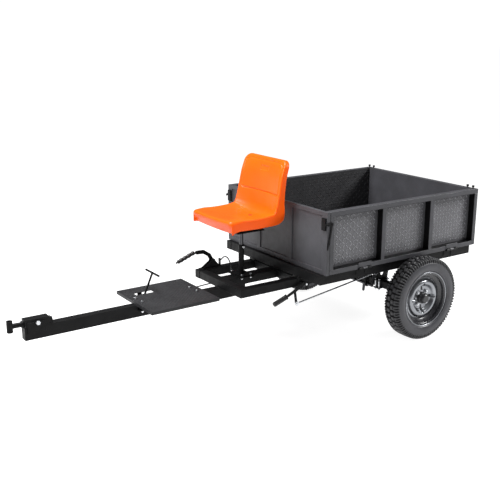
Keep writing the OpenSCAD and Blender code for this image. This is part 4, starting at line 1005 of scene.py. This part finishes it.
def cap(share, edge, reach):
    """1 along a body, rounding to 0 at both ends within a share of its length."""
    near = np.minimum(share * reach, (1 - share) * reach) / edge
    return np.sqrt(np.clip(1 - (1 - np.clip(near, 0, 1)) ** 2, 0.02, 1))


def grip(node_name, count, end_round, radius_at):
    """A round body along a grip's own middle, with rounded ends. radius_at(share, length) gives its radii."""
    path = centre_line(node_name, count)
    share = np.linspace(0, 1, count)
    long_mm = np.linalg.norm(path[-1] - path[0])
    return lofted(path, radius_at(share, long_mm) * cap(share, end_round, long_mm), 28)


# %% Both grips
SLEEVE_R, RIB_MM, RIB_PITCH = 14.2, 0.9, 7.0
FLANGE_FROM, FLANGE_R = 0.93, 17.0
HARD_R, WAVE_MM, WAVES = 12.4, 1.5, 4.5


def ribbed(share, long_mm):
    """Square little ribs, and the flange where the sleeve ends."""
    ribs = SLEEVE_R + RIB_MM * np.tanh(4 * np.sin(2 * math.pi * share * long_mm / RIB_PITCH))
    return np.where(share > FLANGE_FROM, FLANGE_R, ribs)


def waved(share, long_mm):
    """Soft waves, one for each finger."""
    return HARD_R + WAVE_MM * np.cos(2 * math.pi * share * WAVES)


make_piece("ribbed_brake_grip", grip("brake_lever_grip", 120, 5.0, ribbed), "hand_brake", handle_rubber,
           30.0, ["brake_lever_grip"])
make_piece("wavy_parking_grip", grip("parking_grip", 90, 7.0, waved), "parking_brake", handle_rubber,
           40.0, ["parking_grip"])

# %% [markdown]
# ## Weld beads
# The frame is MIG welded. A hand-laid bead is about 5 mm wide with a ripple every 2 to 3 mm, and it is
# painted over with the frame. Only the seams that show are laid here.

# %% Beads
def weld_bead(points, width=5.0, ripple=2.6):
    """A rippled bead along straight runs between the points."""
    points = np.asarray(points, float)
    runs = []
    for a, b in zip(points, points[1:]):
        steps = max(3, int(np.linalg.norm(b - a) / ripple * 4))
        runs.append(a + (b - a) * np.arange(steps)[:, None] / steps)
    path = np.vstack(runs + [points[-1:]])
    ripples = width / 2 * (1 + 0.14 * np.sin(np.arange(len(path)) * math.pi / 2))
    ripples[0] = ripples[-1] = width / 5
    return lofted(path, ripples, 8)


def circle(centre, radius, count=48):
    """A level ring of points that ends where it starts."""
    a = 2 * math.pi * np.arange(count + 1) / count
    return np.stack([centre[0] + radius * np.cos(a), centre[1] + radius * np.sin(a),
                     np.full(count + 1, centre[2])], -1)


# %% Seams of the drawbar and the seat post
drawbar_low, drawbar_high = corners("drawbar")
members_low = corners("cross_members")[0]
outer_low, outer_high = corners("seat_post_outer")
post_points = node_points("seat_post_outer")
upper = post_points[post_points[:, 2] > outer_high[2] - 60]
tube_r = np.median(np.hypot(upper[:, 0] - SEAT_X, upper[:, 1]))
POST_PLATE = 8.0
plate_top = outer_low[2] + POST_PLATE
beads = [weld_bead([(members_low[0] + 2, y, drawbar_high[2]), (drawbar_high[0] - 2, y, drawbar_high[2])])
         for y in (drawbar_low[1] - 1, drawbar_high[1] + 1)]
across_front = [(members_low[0] - 0.5, y, drawbar_high[2]) for y in (drawbar_low[1], drawbar_high[1])]
beads.append(weld_bead(across_front))
beads.append(weld_bead(circle((SEAT_X, 0.0, plate_top), tube_r + 1.0)))
make_piece("frame_weld_beads", together(beads), "chassis", frame_paint, 60.0)
print("seat tube radius", round(float(tube_r), 1), "mm")

# %% [markdown]
# ## Closing cell
# The two boxes are written side by side, so that the finished model can be compared with the frame's.

# %% Sizes and finish
bpy.context.view_layer.update()
low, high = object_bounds()
{"cad": [list(cad_low), list(cad_high)], "visual": [list(low), list(high)]}
